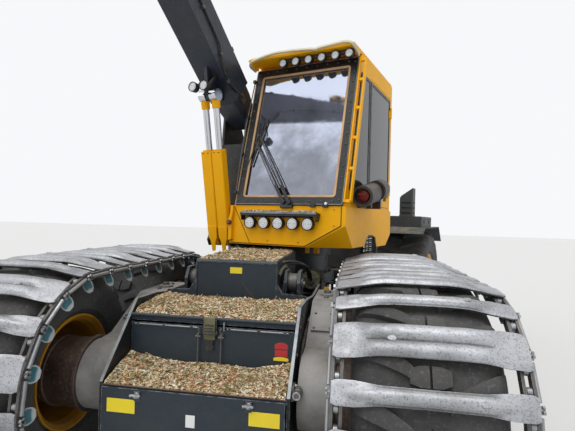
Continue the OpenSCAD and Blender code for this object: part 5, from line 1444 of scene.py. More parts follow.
def build_cab_sides():
    """Corner guard with its slots, flush panes, a door handle, visor rim, and the roof's bolts and hatch."""
    guard = Piece("corner_guard", "upper", "yellow_paint", UPPER @ on_screen())
    slots = (0.045, 0.345, 0.640, 0.935, 1.225, 1.432)
    guard.add(block(1.041, 1.056, 0.030, 1.448, -0.008, 0.024), "yellow")
    guard.add(block(1.094, 1.108, 0.045, 1.432, -0.030, 0.020), "yellow")
    for t in slots:
        guard.add(block(1.050, 1.100, t - 0.014, t + 0.014, -0.012, 0.014), "yellow")
    guard.make(bevel=0.002)

    side = Piece("cab_side_panes", "upper", "glass", UPPER)
    pane = [(-0.700, 1.985), (-0.420, 3.112), (-0.137, 3.112), (-0.137, 1.985)]
    # Near-black pane: painted shade of the cab's inside.
    side.add(prism("x", CAB_SIDE, 1.0560, pane), "glass_painted_shade")
    side.add(moved_shell(band(pane[::-1], 0.030, 0.004), on_side(1.0560)), "black_frame")
    side.make()

    door = Piece("door_pane", "cab_door", "glass", UPPER)
    pane = [(-0.118, 1.985), (-0.118, 3.112), (0.655, 3.112), (0.655, 1.985)]
    # Near-black pane: painted shade of the cab's inside.
    door.add(prism("x", CAB_SIDE, 1.0560, pane), "glass_painted_shade")
    door.add(moved_shell(band(pane[::-1], 0.034, 0.004), on_side(1.0560)), "black_frame")
    door.add(block(1.056, 1.066, -0.100, -0.010, 1.905, 1.965), "plastic")
    door.add(hose([(1.058, -0.090, 1.935), (1.082, -0.080, 1.935), (1.084, -0.050, 1.935),
                   (1.082, -0.020, 1.935), (1.058, -0.012, 1.935)], 0.007, 20, 8), "plastic")
    door.make(bevel=0.0008)

    roof = Piece("roof_rim", "upper", "yellow_paint", UPPER)
    lip = [(-0.083, -0.480, 3.250), (-0.072, -0.600, 3.262), (-0.030, -0.645, 3.285), (0.080, -0.646, 3.315),
           (0.230, -0.646, 3.336), (0.420, -0.646, 3.333), (0.600, -0.646, 3.320), (0.665, -0.646, 3.310),
           (0.730, -0.646, 3.320), (0.940, -0.645, 3.334), (1.020, -0.641, 3.316), (1.048, -0.600, 3.280),
           (1.048, -0.500, 3.252)]
    roof.add(sweep(smooth_path(lip, 80), [(-0.012, -0.012), (0.008, -0.012), (0.012, 0.0), (0.008, 0.014),
                                          (-0.012, 0.012)]),
             "cream")
    for x in (0.12, 0.36, 0.60, 0.84):
        for y in (-0.25, 0.25, 0.62):
            roof.bolt(shift(x, y, 3.400), 0.012, 0.008, "yellow_dull")
    # Hatch on the roof
    roof.add(prism("z", 3.399, 3.409, round_corners(0.22, 0.78, -0.10, 0.46, 0.06)), "dark")
    roof.add(prism("z", 3.4085, 3.412, round_corners(0.26, 0.74, -0.06, 0.42, 0.04)), "screen_dark")
    roof.make(bevel=0.001)


# Cabin


def pad_form(size, pull=0.035, crown=0.012, cells=31):
    """A pad before it is stuffed: soft edges, a crowned face, and sides that pull in between its corners."""
    u, v = np.meshgrid(np.linspace(-1, 1, cells), np.linspace(-1, 1, cells), indexing="ij")
    x = size[0] / 2 * u * (1 - pull * (1 - v**2))
    y = size[1] / 2 * v * (1 - pull * (1 - u**2))
    edge = np.sqrt(np.clip((1 - u**8) * (1 - v**8), 0, 1))
    half = size[2] / 2 - crown
    top = half * (0.3 + 0.7 * edge) + crown * (1 - u**2) * (1 - v**2)
    low = -half * (0.3 + 0.7 * edge)
    return slab(np.stack([x, y, top], -1), np.stack([x, y, low], -1))


def baked_points(pad):
    """The pad's mesh with its modifiers in it."""
    return bpy.data.meshes.new_from_object(pad.evaluated_get(bpy.context.evaluated_depsgraph_get()))


def point_array(mesh):
    """The mesh's points as an array."""
    out = np.empty(len(mesh.vertices) * 3, np.float32)
    mesh.vertices.foreach_get("co", out)
    return out.reshape(-1, 3).astype(float)


def stuffed_pad(name, size, place, channels, cap=0.009):
    """A cloth pad blown up by light pressure, its sewn channels pressed in.

    Each point's move is held to a cap.
    """
    points, faces = pad_form(size)
    mesh = bpy.data.meshes.new(name)
    mesh.from_pydata(points.tolist(), [],
                     [tuple(int(i) for i in f) for group in outward(points, faces) for f in group])
    pad = bpy.data.objects.new(name, mesh)
    scene = bpy.context.scene
    scene.collection.objects.link(pad)
    even = pad.modifiers.new("Even", "REMESH")
    even.mode = "VOXEL"
    even.voxel_size = 0.006
    mesh = baked_points(pad)
    pad.modifiers.clear()
    pad.data = mesh
    start = point_array(mesh)
    moved_by = np.zeros_like(start)
    cloth = pad.modifiers.new("Stuffing", "CLOTH")
    cloth.settings.quality = 4
    cloth.settings.use_pressure = True
    cloth.settings.uniform_pressure_force = 4
    cloth.settings.effector_weights.gravity = 0
    cloth.collision_settings.use_collision = False
    cloth.point_cache.frame_start, cloth.point_cache.frame_end = 1, 20
    for number in range(1, 21):
        scene.frame_set(number)
    moved_by = point_array(baked_points(pad)) - start
    moved_by -= moved_by.mean(0)
    pad.modifiers.clear()
    scene.frame_set(1)
    reach = np.linalg.norm(moved_by, axis=1, keepdims=True)
    now = start + moved_by * np.minimum(1, cap / np.maximum(reach, 1e-9))
    inside = np.clip((0.90 - np.abs(now[:, 1]) / (size[1] / 2)) / 0.1, 0,
                     1) * np.clip(now[:, 2] / 0.015, 0, 1)
    across = np.clip((0.86 - np.abs(now[:, 0]) / (size[0] / 2)) / 0.1, 0,
                     1) * np.clip(now[:, 2] / 0.015, 0, 1)
    for axis, at in channels:
        held = inside if axis == 0 else across
        now[:, 2] -= 0.006 * held * np.exp(-(((now[:, axis] - at) / 0.007) ** 2))
    mesh.vertices.foreach_set("co", moved(now, place).astype(np.float32).ravel())
    mesh.polygons.foreach_set("use_smooth", np.ones(len(mesh.polygons), bool))
    mesh.attributes.new("tint", "FLOAT", "POINT")
    mesh.materials.clear()
    mesh.materials.append(finish("cloth"))
    mesh.update()
    pad.name = name
    smooth = pad.modifiers.new("Round", "SUBSURF")
    smooth.levels = smooth.render_levels = 1
    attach(pad, "upper")
    return pad


def build_cabin():
    """The driver's seat with its padded cushions, arm rest pads, lever tops, pedals and screen."""
    cushion, cushion_size = shift(0.480, 0.130, 2.214), (0.440, 0.470, 0.120)
    back, back_size = shift(0.480, 0.440, 2.645) @ turn("x", 76.9), (0.420, 0.680, 0.080)
    stuffed_pad("seat_cushion", cushion_size, UPPER @ cushion, ((0, -0.130), (0, 0.130), (1, 0.020)))
    stuffed_pad("seat_back", back_size, UPPER @ back, ((0, -0.120), (0, 0.120), (1, -0.120), (1, 0.170)))

    base = Piece("seat_base", "upper", "seat_cloth", UPPER)
    post = [(0.190, 1.8905), (0.190, 1.905), (0.130, 1.912), (0.110, 1.930)]
    for k in range(6):
        post += [(0.128, 1.945 + 0.028 * k), (0.112, 1.959 + 0.028 * k)]
    post += [(0.118, 2.112), (0.150, 2.118), (0.150, 2.128)]
    base.add(lathe(post, 40), "rubber", shift(0.480, 0.140, 0))
    base.add(prism("z", 2.128, 2.150, round_corners(0.262, 0.698, -0.095, 0.360, 0.05)), "plastic")
    for x in (0.290, 0.650):
        base.add(block(x, x + 0.020, -0.080, 0.340, 2.118, 2.130), "steel_dirty")
    shell = [(0.385, 2.300), (0.402, 2.300), (0.556, 2.975), (0.535, 2.985)]
    base.add(prism("x", 0.290, 0.670, shell), "plastic")
    base.add(block(0.420, 0.540, 0.330, 0.400, 2.150, 2.310), "plastic")
    # Belt: lap strap over the cushion's rear, its reel and its buckle
    strap = strip(0.024, 0.001)
    path = [(0.232, 0.300, 2.200), (0.262, 0.270, 2.285), (0.360, 0.240, 2.296), (0.480, 0.232, 2.298),
            (0.600, 0.240, 2.296), (0.698, 0.270, 2.285), (0.728, 0.300, 2.200)]
    base.add(sweep(smooth_path(path, 36), strap), "belt")
    base.add(block(0.222, 0.244, 0.270, 0.330, 2.140, 2.205), "plastic")
    base.add(block(0.716, 0.738, 0.275, 0.325, 2.140, 2.215), "plastic")
    base.add(block(0.718, 0.736, 0.285, 0.315, 2.214, 2.222), "plate_red")
    # Piping round both cushions
    a = np.linspace(0, 2 * np.pi, 97)
    across, down = (np.sign(f) * np.abs(f) ** 0.22 for f in (np.cos(a), np.sin(a)))
    for place, size in ((cushion, cushion_size), (back, back_size)):
        x, y = size[0] / 2 * across, size[1] / 2 * down
        seam = np.stack([x * (1 - 0.03 * (1 - (2 * y / size[1]) ** 2)),
                         y * (1 - 0.03 * (1 - (2 * x / size[0]) ** 2)), np.full_like(x, 0.004)], 1)
        base.add(sweep(seam, circle(0.0042, 6)), "cloth_seam", place)
    # Posts of the head rest
    for x in (0.430, 0.530):
        base.add(rod("z", (x, 0.512, 2.930), 0.110, 0.006, 8), "steel")
    base.make(replaces=["seat"], bevel=0.0008)

    desk = Piece("console_fittings", "upper", "black_plastic", UPPER)
    for x in (0.150, 0.730):
        middle = x + 0.045
        pad = [(x + 0.004, 2.3995), (x + 0.086, 2.3995), (x + 0.088, 2.410), (x + 0.078, 2.420),
               (x + 0.012, 2.420), (x + 0.002, 2.410)]
        desk.add(prism("y", -0.060, 0.255, pad), "cloth_seam")
        desk.add(lathe([(0.030, 2.4005), (0.026, 2.412), (0.023, 2.420)], 20), "rubber",
                 shift(middle, -0.210, 0))
        grip = [(0.0235, 2.430), (0.027, 2.450), (0.025, 2.470), (0.028, 2.488), (0.026, 2.506),
                (0.018, 2.514)]
        desk.add(lathe(grip, 20), "plastic", shift(middle, -0.210, 0))
        for k, look in enumerate(("plate_red", "plate_yellow", "plate_white", "teal")):
            spot = shift(middle - 0.018 + 0.012 * k, -0.130, 2.400)
            desk.add(rod("z", (0, 0, 0), 0.005, 0.0045, 10, 0.001), look, spot)
        for row in range(3):
            for column in range(3):
                key = block(-0.007, 0.007, -0.006, 0.006, 0, 0.004)
                desk.add(key, "stone_cab", shift(middle - 0.020 + 0.020 * column, -0.118 + 0.017 * (row + 1),
                                                 2.400))
    bezel = prism("y", -0.533, -0.5305, round_corners(0.104, 0.396, 2.304, 2.476, 0.012))
    desk.add(bezel, "plastic")
    for k in range(6):
        desk.add(rod("y", (0.140 + 0.044 * k, -0.537, 2.312), 0.006, 0.006, 10), "stone_cab")
    desk.add(prism("y", -0.4988, -0.4970, round_corners(0.118, 0.382, 2.325, 2.465, 0.008)), "screen_dark")
    for x in (0.330, 0.540):
        tread = [(-0.585, 1.905), (-0.572, 1.898), (-0.500, 2.020), (-0.512, 2.030)]
        desk.add(prism("x", x, x + 0.100, tread), "plastic")
        desk.add(block(x + 0.030, x + 0.070, -0.560, -0.470, 1.8905, 1.902), "steel_dirty")
        for k in range(5):
            spot = shift(x + 0.050, -0.578 + 0.0145 * k, 1.9145 + 0.0247 * k) @ turn("x", 59)
            desk.add(block(-0.046, 0.046, -0.004, 0.004, -0.001, 0.004), "rubber", spot)
    desk.add(prism("z", 1.8903, 1.8940, round_corners(0.080, 0.900, -0.560, 0.480, 0.04)), "rubber")
    desk.make(bevel=0.0008)


# Crane


LIFT_FOOT, LIFT_EYE = (-0.735, 1.482), (-0.9997, 2.8783)
LIFT_L = math.dist(LIFT_FOOT, LIFT_EYE)
LIFT_LEAN = math.degrees(math.asin((LIFT_FOOT[0] - LIFT_EYE[0]) / LIFT_L))


def pin_cap(piece, x, y, z, push, radius):
    """A pin's end with its keeper ring and bolts, facing along X."""
    place = shift(x, y, z) @ turn("y", 90 * push)
    piece.add(lathe([(radius, 0), (radius, 0.010), (radius * 0.9, 0.014)], 28), "steel_dirty", place)
    piece.add(lathe([(radius * 0.45, 0.014), (radius * 0.45, 0.020), (radius * 0.3, 0.022)], 20), "steel",
              place)
    for c, d in on_circle(radius * 0.72, 6):
        spot = place @ shift(c, d, 0.014)
        piece.bolt(spot, radius * 0.14, 0.008, "steel")


def build_crane():
    """Guards and eyes of the lift cylinders, lamps, pipes, clamps, pin caps and bolts of the boom and jib."""
    barrels = Piece("lift_guards", "lift_barrels", "yellow_paint", UPPER)
    heads = Piece("lift_rod_heads", "lift_rods", "yellow_paint", UPPER)
    for x in (-0.063, 0.063):
        place = shift(CRANE_X + x, *LIFT_FOOT) @ turn("x", LIFT_LEAN)
        outer = [(0.0600, 0.020), (0.0600, -0.057), (0.053, -0.065), (-0.053, -0.065), (-0.0600, -0.057),
                 (-0.0600, 0.020),
                 (-0.0575, 0.020), (-0.0575, -0.056), (-0.051, -0.062), (0.051, -0.062), (0.0575, -0.056),
                 (0.0575, 0.020)]
        shell, faces = prism("z", 0.130, 0.892, outer)
        k = len(outer)
        caps = [np.array([[i, i + 1, k - 2 - i, k - 1 - i] for i in range(k // 2 - 1)])]
        barrels.add((shell, [faces[0], caps[0][:, ::-1], caps[0] + k]), "yellow", place)
        lip = [(0.0345, 0.9005), (0.0600, 0.9005), (0.0600, 0.876), (0.0615, 0.874), (0.0615, 0.906),
               (0.0345, 0.906)]
        barrels.add(ring(lip, 40), "yellow", place)
        # Two notches in the cap's lip as near-black strips: painted shade.
        for push in (-0.028, 0.028):
            barrels.add(block(push - 0.012, push + 0.012, -0.0662, -0.0640, 0.872, 0.878), "painted_gap_shade", place)
        foot = [(-0.053, 0.150), (0.053, 0.150), (0.050, 0.040), (0.030, -0.010), (0.018, -0.095),
                (-0.006, -0.110), (-0.020, -0.095), (-0.026, -0.010), (-0.050, 0.040)]
        barrels.add(prism("y", -0.070, -0.062, foot), "yellow", place)
        port = rod("y", (0, 0.056, 0), 0.030, 0.018, 16, 0.003)
        for z in (0.160, 0.840):
            barrels.add(port, "steel_dirty", place @ shift(0, 0, z))
        sleeve = [(0.0315, LIFT_L - 0.128), (0.0400, LIFT_L - 0.124), (0.0420, LIFT_L - 0.050),
                  (0.0315, LIFT_L - 0.046)]
        heads.add(ring(sleeve, 32), "yellow", place)
    barrels.make(bevel=0.0012)
    heads.make()

    pillar = Piece("crane_pillar_fittings", "upper", "dark_paint", UPPER)
    for push in (-1, 1):
        pin_cap(pillar, CRANE_X + 0.151 * push, *BOOM_PIN, push, 0.085)
        pin_cap(pillar, CRANE_X + 0.1435 * push, *LIFT_FOOT, push, 0.036)
    for z in (1.52, 1.66, 2.10, 2.35):
        for x in (-0.125, 0.125):
            pillar.bolt(shift(CRANE_X + x, -0.575, z) @ turn("x", 90), 0.012, 0.009)
    for k, x in enumerate((-0.090, -0.055, -0.020, 0.015, 0.050, 0.085)):
        run = [(CRANE_X + x, -0.100, 1.560), (CRANE_X + x, -0.050, 1.640), (CRANE_X + x, -0.085, 1.860),
               (CRANE_X + x, -0.120, 2.200), (CRANE_X + x, -0.155, 2.560)]
        pillar.add(hose(run, 0.012 if k % 2 else 0.015, 24, 8), "hose")
    pillar.add(block(CRANE_X - 0.11, CRANE_X + 0.11, -0.130, -0.075, 1.990, 2.020), "steel_dirty")
    pillar.make(bevel=0.0008)

    boom = Piece("boom_fittings", "boom", "slate_paint", BOOM)
    for x in (-0.063, 0.063):
        add_lamp(boom, shift(x, -0.620, -0.342) @ turn("x", BOOM_RISE), 0.0460, 0.066)
        boom.add(block(x - 0.012, x + 0.012, -0.632, -0.608, -0.310, -0.150), "plastic")
    boom.add(block(-0.080, 0.080, -0.640, -0.600, -0.166, -0.156), "plastic")
    line = [(0.161, -0.914, -0.014), (0.163, -0.834, -0.031), (0.164, -0.728, -0.096),
            (0.164, -0.608, -0.141), (0.164, -0.470, -0.126), (0.150, -0.360, -0.060), (0.128, -0.250, 0.010)]
    boom.add(hose(line, 0.0085, 48, 10), "hose")
    start = np.array([0.161, -0.914, -0.014])
    boom.add(hose([start, (0.160, -1.60, 0.010), (0.160, -2.60, 0.010), (0.160, -3.60, 0.0)], 0.0085, 30, 10),
             "hose")
    for y, z in ((-0.78, -0.060), (-0.54, -0.142), (-1.20, -0.004), (-1.90, 0.010), (-2.60, 0.010),
                 (-3.30, 0.004)):
        boom.add(block(0.148, 0.174, y - 0.014, y + 0.014, z - 0.016, z + 0.016), "steel_dirty")
    boom.add(block(0.112, 0.124, -0.300, -0.200, -0.020, 0.045), "steel_dirty")
    # Four steel pipes along the top, outside the jib cylinder, with their clamps
    for x in (-0.126, -0.100, 0.100, 0.126):
        run = [(x, -0.460, 0.168), (x, -0.520, 0.174), (x, -1.300, 0.174), (x, -3.900, 0.117),
               (x, -3.960, 0.108)]
        boom.add(sweep(run, circle(0.0095, 8)), "boom_blue")
    for y in (-0.70, -1.25, -1.80, -2.35, -2.90, -3.45, -3.85):
        z = np.interp(-y, [1.3, 4.04], [0.160, 0.100])
        for side in (-1, 1):
            boom.add(block(*span(side, 0.086, 0.140), y - 0.020, y + 0.020, z - 0.004, z + 0.030), "dark")
            boom.bolt(shift(side * 0.113, y, z + 0.030), 0.009, 0.007)
    jib_spot = (-BOOM_L, 0.070)
    for push in (-1, 1):
        pin_cap(boom, 0.151 * push, *jib_spot, push, 0.080)
        pin_cap(boom, 0.0765 * push, -3.100, 0.235, push, 0.034)
    boom.make(bevel=0.0008)

    jib = Piece("jib_fittings", "jib", "slate_paint", JIB)
    for x in (-0.050, -0.025, 0.025, 0.050):
        run = [(x, -0.420, 0.133), (x, -0.480, 0.139), (x, -2.300, 0.139), (x, -2.360, 0.133)]
        jib.add(sweep(run, circle(0.0085, 8)), "boom_blue")
    for y in (-0.60, -1.10, -1.60, -2.10):
        jib.add(block(-0.068, 0.068, y - 0.018, y + 0.018, 0.122, 0.152), "dark")
        for x in (-0.060, 0.0, 0.060):
            jib.bolt(shift(x, y, 0.152), 0.008, 0.006)
    for y0, y1 in ((-2.500, -2.440), (-2.020, -1.960)):
        for side in (-1, 1):
            jib.add(block(*span(side, 0.095, 0.107), y0, y1, -0.137, 0.137), "slate")
            jib.add(block(-0.096, 0.096, y0, y1, *span(side, 0.125, 0.137)), "slate")
            for z in (-0.09, -0.03, 0.03, 0.09):
                at = shift(side * 0.107, (y0 + y1) / 2, z) @ turn("y", 90 * side)
                jib.bolt(at, 0.011, 0.008)
    jib.make(bevel=0.0008)

    knuckle = Piece("rotator_fittings", "rotator", "dark_paint", UPPER @ shift(CRANE_X, TIP[0], 0))
    disc = TILT_Z + 0.190
    for c, d in on_circle(0.110, 12):
        knuckle.bolt(shift(c, d, disc + 0.041), 0.011, 0.009)
    for z in (disc + 0.075, disc + 0.110, disc + 0.145):
        groove = [(0.0945, z - 0.006), (0.0985, z - 0.004), (0.0985, z + 0.004), (0.0945, z + 0.006)]
        knuckle.add(ring(groove, 40), "steel_dirty")
    for a in (20, 60, 100, 140):
        place = turn("z", a) @ shift(0.090, 0, disc + 0.092)
        knuckle.add(rod("x", (0, 0, 0), 0.030, 0.014, 12, 0.003), "steel", place)
    knuckle.make()


def build_head():
    """Bolts, covers, hoses, valve block and saw motor of the harvesting head."""
    head = Piece("head_fittings", "head_frame", "cast_steel", HEAD)
    top = [(-0.520, 0.0), (-0.400, 0.0), (-0.400, 0.08), (-0.520, 0.02)]
    head.add(prism("x", -0.150, 0.150, [(a, b - 0.028) for a, b in top]), "yellow")
    for side in (-1, 1):
        x = side * 0.200
        for y in (-0.48, -0.30, -0.12, 0.12, 0.30, 0.48):
            for z in (-0.14, 0.02):
                head.bolt(shift(x, y, z) @ turn("y", 90 * side), 0.013, 0.010)
        head.add(prism("x", *span(side, 0.200, 0.206),
                       [(0.16, -0.10), (0.44, -0.10), (0.44, 0.0), (0.16, 0.03)]),
                 "slate")
        for y in (-0.03, 0.03):
            run = [(side * 0.090, y, 0.095), (side * 0.110, y * 2, 0.200), (side * 0.120, -0.160 + y, 0.235),
                   (side * 0.130, -0.300 + y, 0.180), (side * 0.140, -0.360 + y, 0.088)]
            head.add(hose(run, 0.011, 30, 10), "hose")
            for end in (run[0], run[-1]):
                head.add(rod("z", (end[0], end[1], end[2] - 0.012), 0.030, 0.016, 12, 0.003), "steel")
        pin_cap(head, side * 0.2005, 0, 0.300, side, 0.055)
    # Valve block with its plugs between the ears
    head.add(block(-0.120, 0.120, -0.200, 0.200, 0.078, 0.150), "slate")
    for x in (-0.08, -0.03, 0.03, 0.08):
        for y in (-0.201, 0.201):
            head.add(rod("y", (x, min(y, y * 1.12), 0.118), abs(y * 0.12), 0.017, 14, 0.003), "steel_dirty")
    # Saw motor and the cap of the saw housing
    head.add(rod("y", (0.190, 0.656, -0.190), 0.090, 0.055, 28, 0.006), "dark")
    for c, d in on_circle(0.044, 6):
        at = shift(0.190 + c, 0.746, -0.190 + d) @ turn("x", -90)
        head.bolt(at, 0.009, 0.008, "steel")
    for x, z in ((0.09, -0.05), (0.30, -0.05), (0.09, -0.55), (0.30, -0.55), (0.195, 0.0)):
        head.bolt(shift(x, 0.660, z) @ turn("x", -90), 0.012, 0.010)
    head.make(bevel=0.0008)


# Rear frame


def build_rear():
    """Louvre frames, latches, seams, rails, lamps, straps and bolts of the engine end."""
    hood = Piece("hood_fittings", "hood", "dark_paint", REAR)
    for side in (-1, 1):
        x0, x1 = span(side, 0.620, 0.628)
        rim = [(1.175, 1.225), (1.725, 1.225), (1.725, 1.520), (1.175, 1.520)]
        hood.add(moved_shell(band(rim, 0.018, 0.008), on_side(side * 0.620, side)), "plastic")
        for k in range(9):
            z = 1.244 + 0.030 * k
            fin = [(side * 0.6205, z), (side * 0.6205, z + 0.004), (side * 0.640, z - 0.010),
                   (side * 0.640, z - 0.014)]
            hood.add(prism("y", 1.195, 1.705, fin), "plastic")
        # Seams on the hood's sides as near-black strips: painted shade.
        for y in (1.130, 1.790, 2.300):
            hood.add(block(x0, x1, y - 0.0025, y + 0.0025, 1.040, 1.600), "painted_gap_shade")
        for y in (1.180, 1.740, 2.240):
            hood.add(block(*span(side, 0.6205, 0.634), y - 0.020, y + 0.020, 1.100, 1.180), "latch_black")
            hood.add(rod("x", (min(side * 0.634, side * 0.646), y, 1.140), 0.012, 0.012, 12, 0.002), "steel")
        for y, z in ((0.96, 1.10), (0.96, 1.56), (1.40, 1.10), (2.05, 1.10), (2.50, 1.10), (2.50, 1.48),
                     (2.05, 1.58)):
            hood.bolt(shift(side * 0.620, y, z) @ turn("y", 90 * side), 0.010, 0.007)
        rail = [(side * 0.52, 1.26, 1.800), (side * 0.52, 1.29, 1.868), (side * 0.52, 1.40, 1.880),
                (side * 0.52, 2.06, 1.880), (side * 0.52, 2.17, 1.868), (side * 0.52, 2.20, 1.800)]
        hood.add(hose(rail, 0.014, 40, 10), "yellow")
        for y in (1.26, 2.20):
            hood.add(lathe([(0.030, 1.7995), (0.030, 1.806), (0.018, 1.810)], 16), "yellow_dull",
                     shift(side * 0.52, y, 0))
    for x in (-0.24, 0.0, 0.24):
        hood.add(prism("z", 1.7995, 1.806, round_corners(x - 0.10, x + 0.10, 1.36, 1.94, 0.02)), "plastic")
        # Slots of the grille as near-black strips: painted shade.
        for k in range(12):
            hood.add(block(x - 0.085, x + 0.085, 1.385 + 0.046 * k, 1.405 + 0.046 * k, 1.8055, 1.810),
                     "painted_gap_shade")
    rim = band([(-0.455, 1.035), (0.455, 1.035), (0.455, 1.525), (-0.455, 1.525)], 0.022, 0.010)
    hood.add(moved_shell(rim, on_end(2.600)), "plastic")
    hood.make(bevel=0.001)

    rear = Piece("rear_fittings", "rear", "slate_paint", REAR)
    for side in (-1, 1):
        # Rubber edge, tread strips and lids of the fenders
        edge = [(side * 1.560, 0.700, 1.556), (side * 1.560, 0.901, 1.637), (side * 1.560, 2.100, 1.637),
                (side * 1.560, 2.360, 1.417)]
        rear.add(sweep(edge, strip(0.009, 0.010)), "rubber")
        for k in range(22):
            y = 1.120 + 0.034 * k
            rear.add(block(*span(side, 0.990, 1.450), y, y + 0.010, 1.7895, 1.7935), "steel_dirty")
        for y in (1.28, 1.70):
            rear.add(block(*span(side, 1.479, 1.492), y - 0.030, y + 0.030, 1.700, 1.740), "latch_black")
        # Seam of the fender lid as a near-black strip: painted shade.
        rear.add(block(*span(side, 1.4795, 1.4830), 1.078, 1.902, 1.752, 1.758), "painted_gap_shade")
        for y in (0.98, 2.02):
            for x in (0.88, 1.12, 1.36, 1.50):
                rear.bolt(shift(side * x, y, 1.640), 0.011, 0.008)
        # Tail lamps on the end plate
        for x, look in ((0.300, "tail_red"), (0.375, "amber")):
            rear.add(rod("y", (side * x, 2.6595, 0.900), 0.022, 0.034, 24, 0.003), "plastic")
            rear.add(rod("y", (side * x, 2.680, 0.900), 0.008, 0.029, 24, 0.003), look)
        rear.add(plate(*span(side, 0.28, 0.40), 0.780, 0.840, 2.6615, 0.0014), "tail_red")
        for x, z in ((0.385, 0.560), (0.385, 0.720), (0.20, 0.560), (0.20, 0.960)):
            rear.bolt(shift(side * x, 2.660, z) @ turn("x", -90), 0.014, 0.012)
        # Tank straps, filler and sight glass
        for y in (0.700, 0.920):
            for part in (block(*span(side, 0.639, 0.643), y - 0.022, y + 0.022, 0.640, 1.012),
                         block(*span(side, 0.330, 0.643), y - 0.022, y + 0.022, 1.0095, 1.013)):
                rear.add(part, "steel_dirty")
        neck = lathe([(0.040, 1.0095), (0.040, 1.030), (0.052, 1.032), (0.052, 1.056), (0.046, 1.060)], 28)
        rear.add(neck, "plastic", shift(side * 0.500, 0.810, 0))
        rear.add(block(*span(side, 0.6395, 0.6450), 0.800, 0.820, 0.720, 0.940), "lens")
        # Hub bolts on the axle and its casing
        for c, d in on_circle(0.168, 12):
            at = shift(side * 0.690, 1.600 + c, 0.800 + d) @ turn("y", -90 * side)
            rear.bolt(at, 0.012, 0.010)
        for y, z in ((1.45, 0.62), (1.75, 0.62), (1.45, 0.96), (1.75, 0.96)):
            rear.bolt(shift(side * 0.330, y, z) @ turn("y", 90 * side), 0.016, 0.012)
    for c, d in on_circle(0.120, 12):
        rear.bolt(shift(c, d, 0.944), 0.013, 0.011)
    # Cap band and guard slots as near-black strips of painted shade, and rim of the exhaust cover
    for z in (1.83, 1.90, 1.97):
        rear.add(block(1.200, 1.320, 1.0965, 1.1005, z, z + 0.022), "painted_gap_shade")
        rear.add(block(1.3495, 1.3535, 1.120, 1.260, z, z + 0.022), "painted_gap_shade")
    rear.add(block(1.166, 1.354, 1.096, 1.284, 1.7935, 1.806), "steel_dirty")
    rear.make(bevel=0.001)

    for name, side in (("left", 1), ("right", -1)):
        wheel = Piece("rear_hub_" + name, "rear_wheel_" + name, "yellow_paint", REAR @ shift(0, *REAR_AXLE))
        for c, d in on_circle(0.170, 12):
            at = shift(side * REAR_DISC, c, d) @ turn("y", 90 * side)
            wheel.bolt(at, 0.018, 0.022)
        wheel.make()


# Extinguishers, deck and hidden sides of the cab


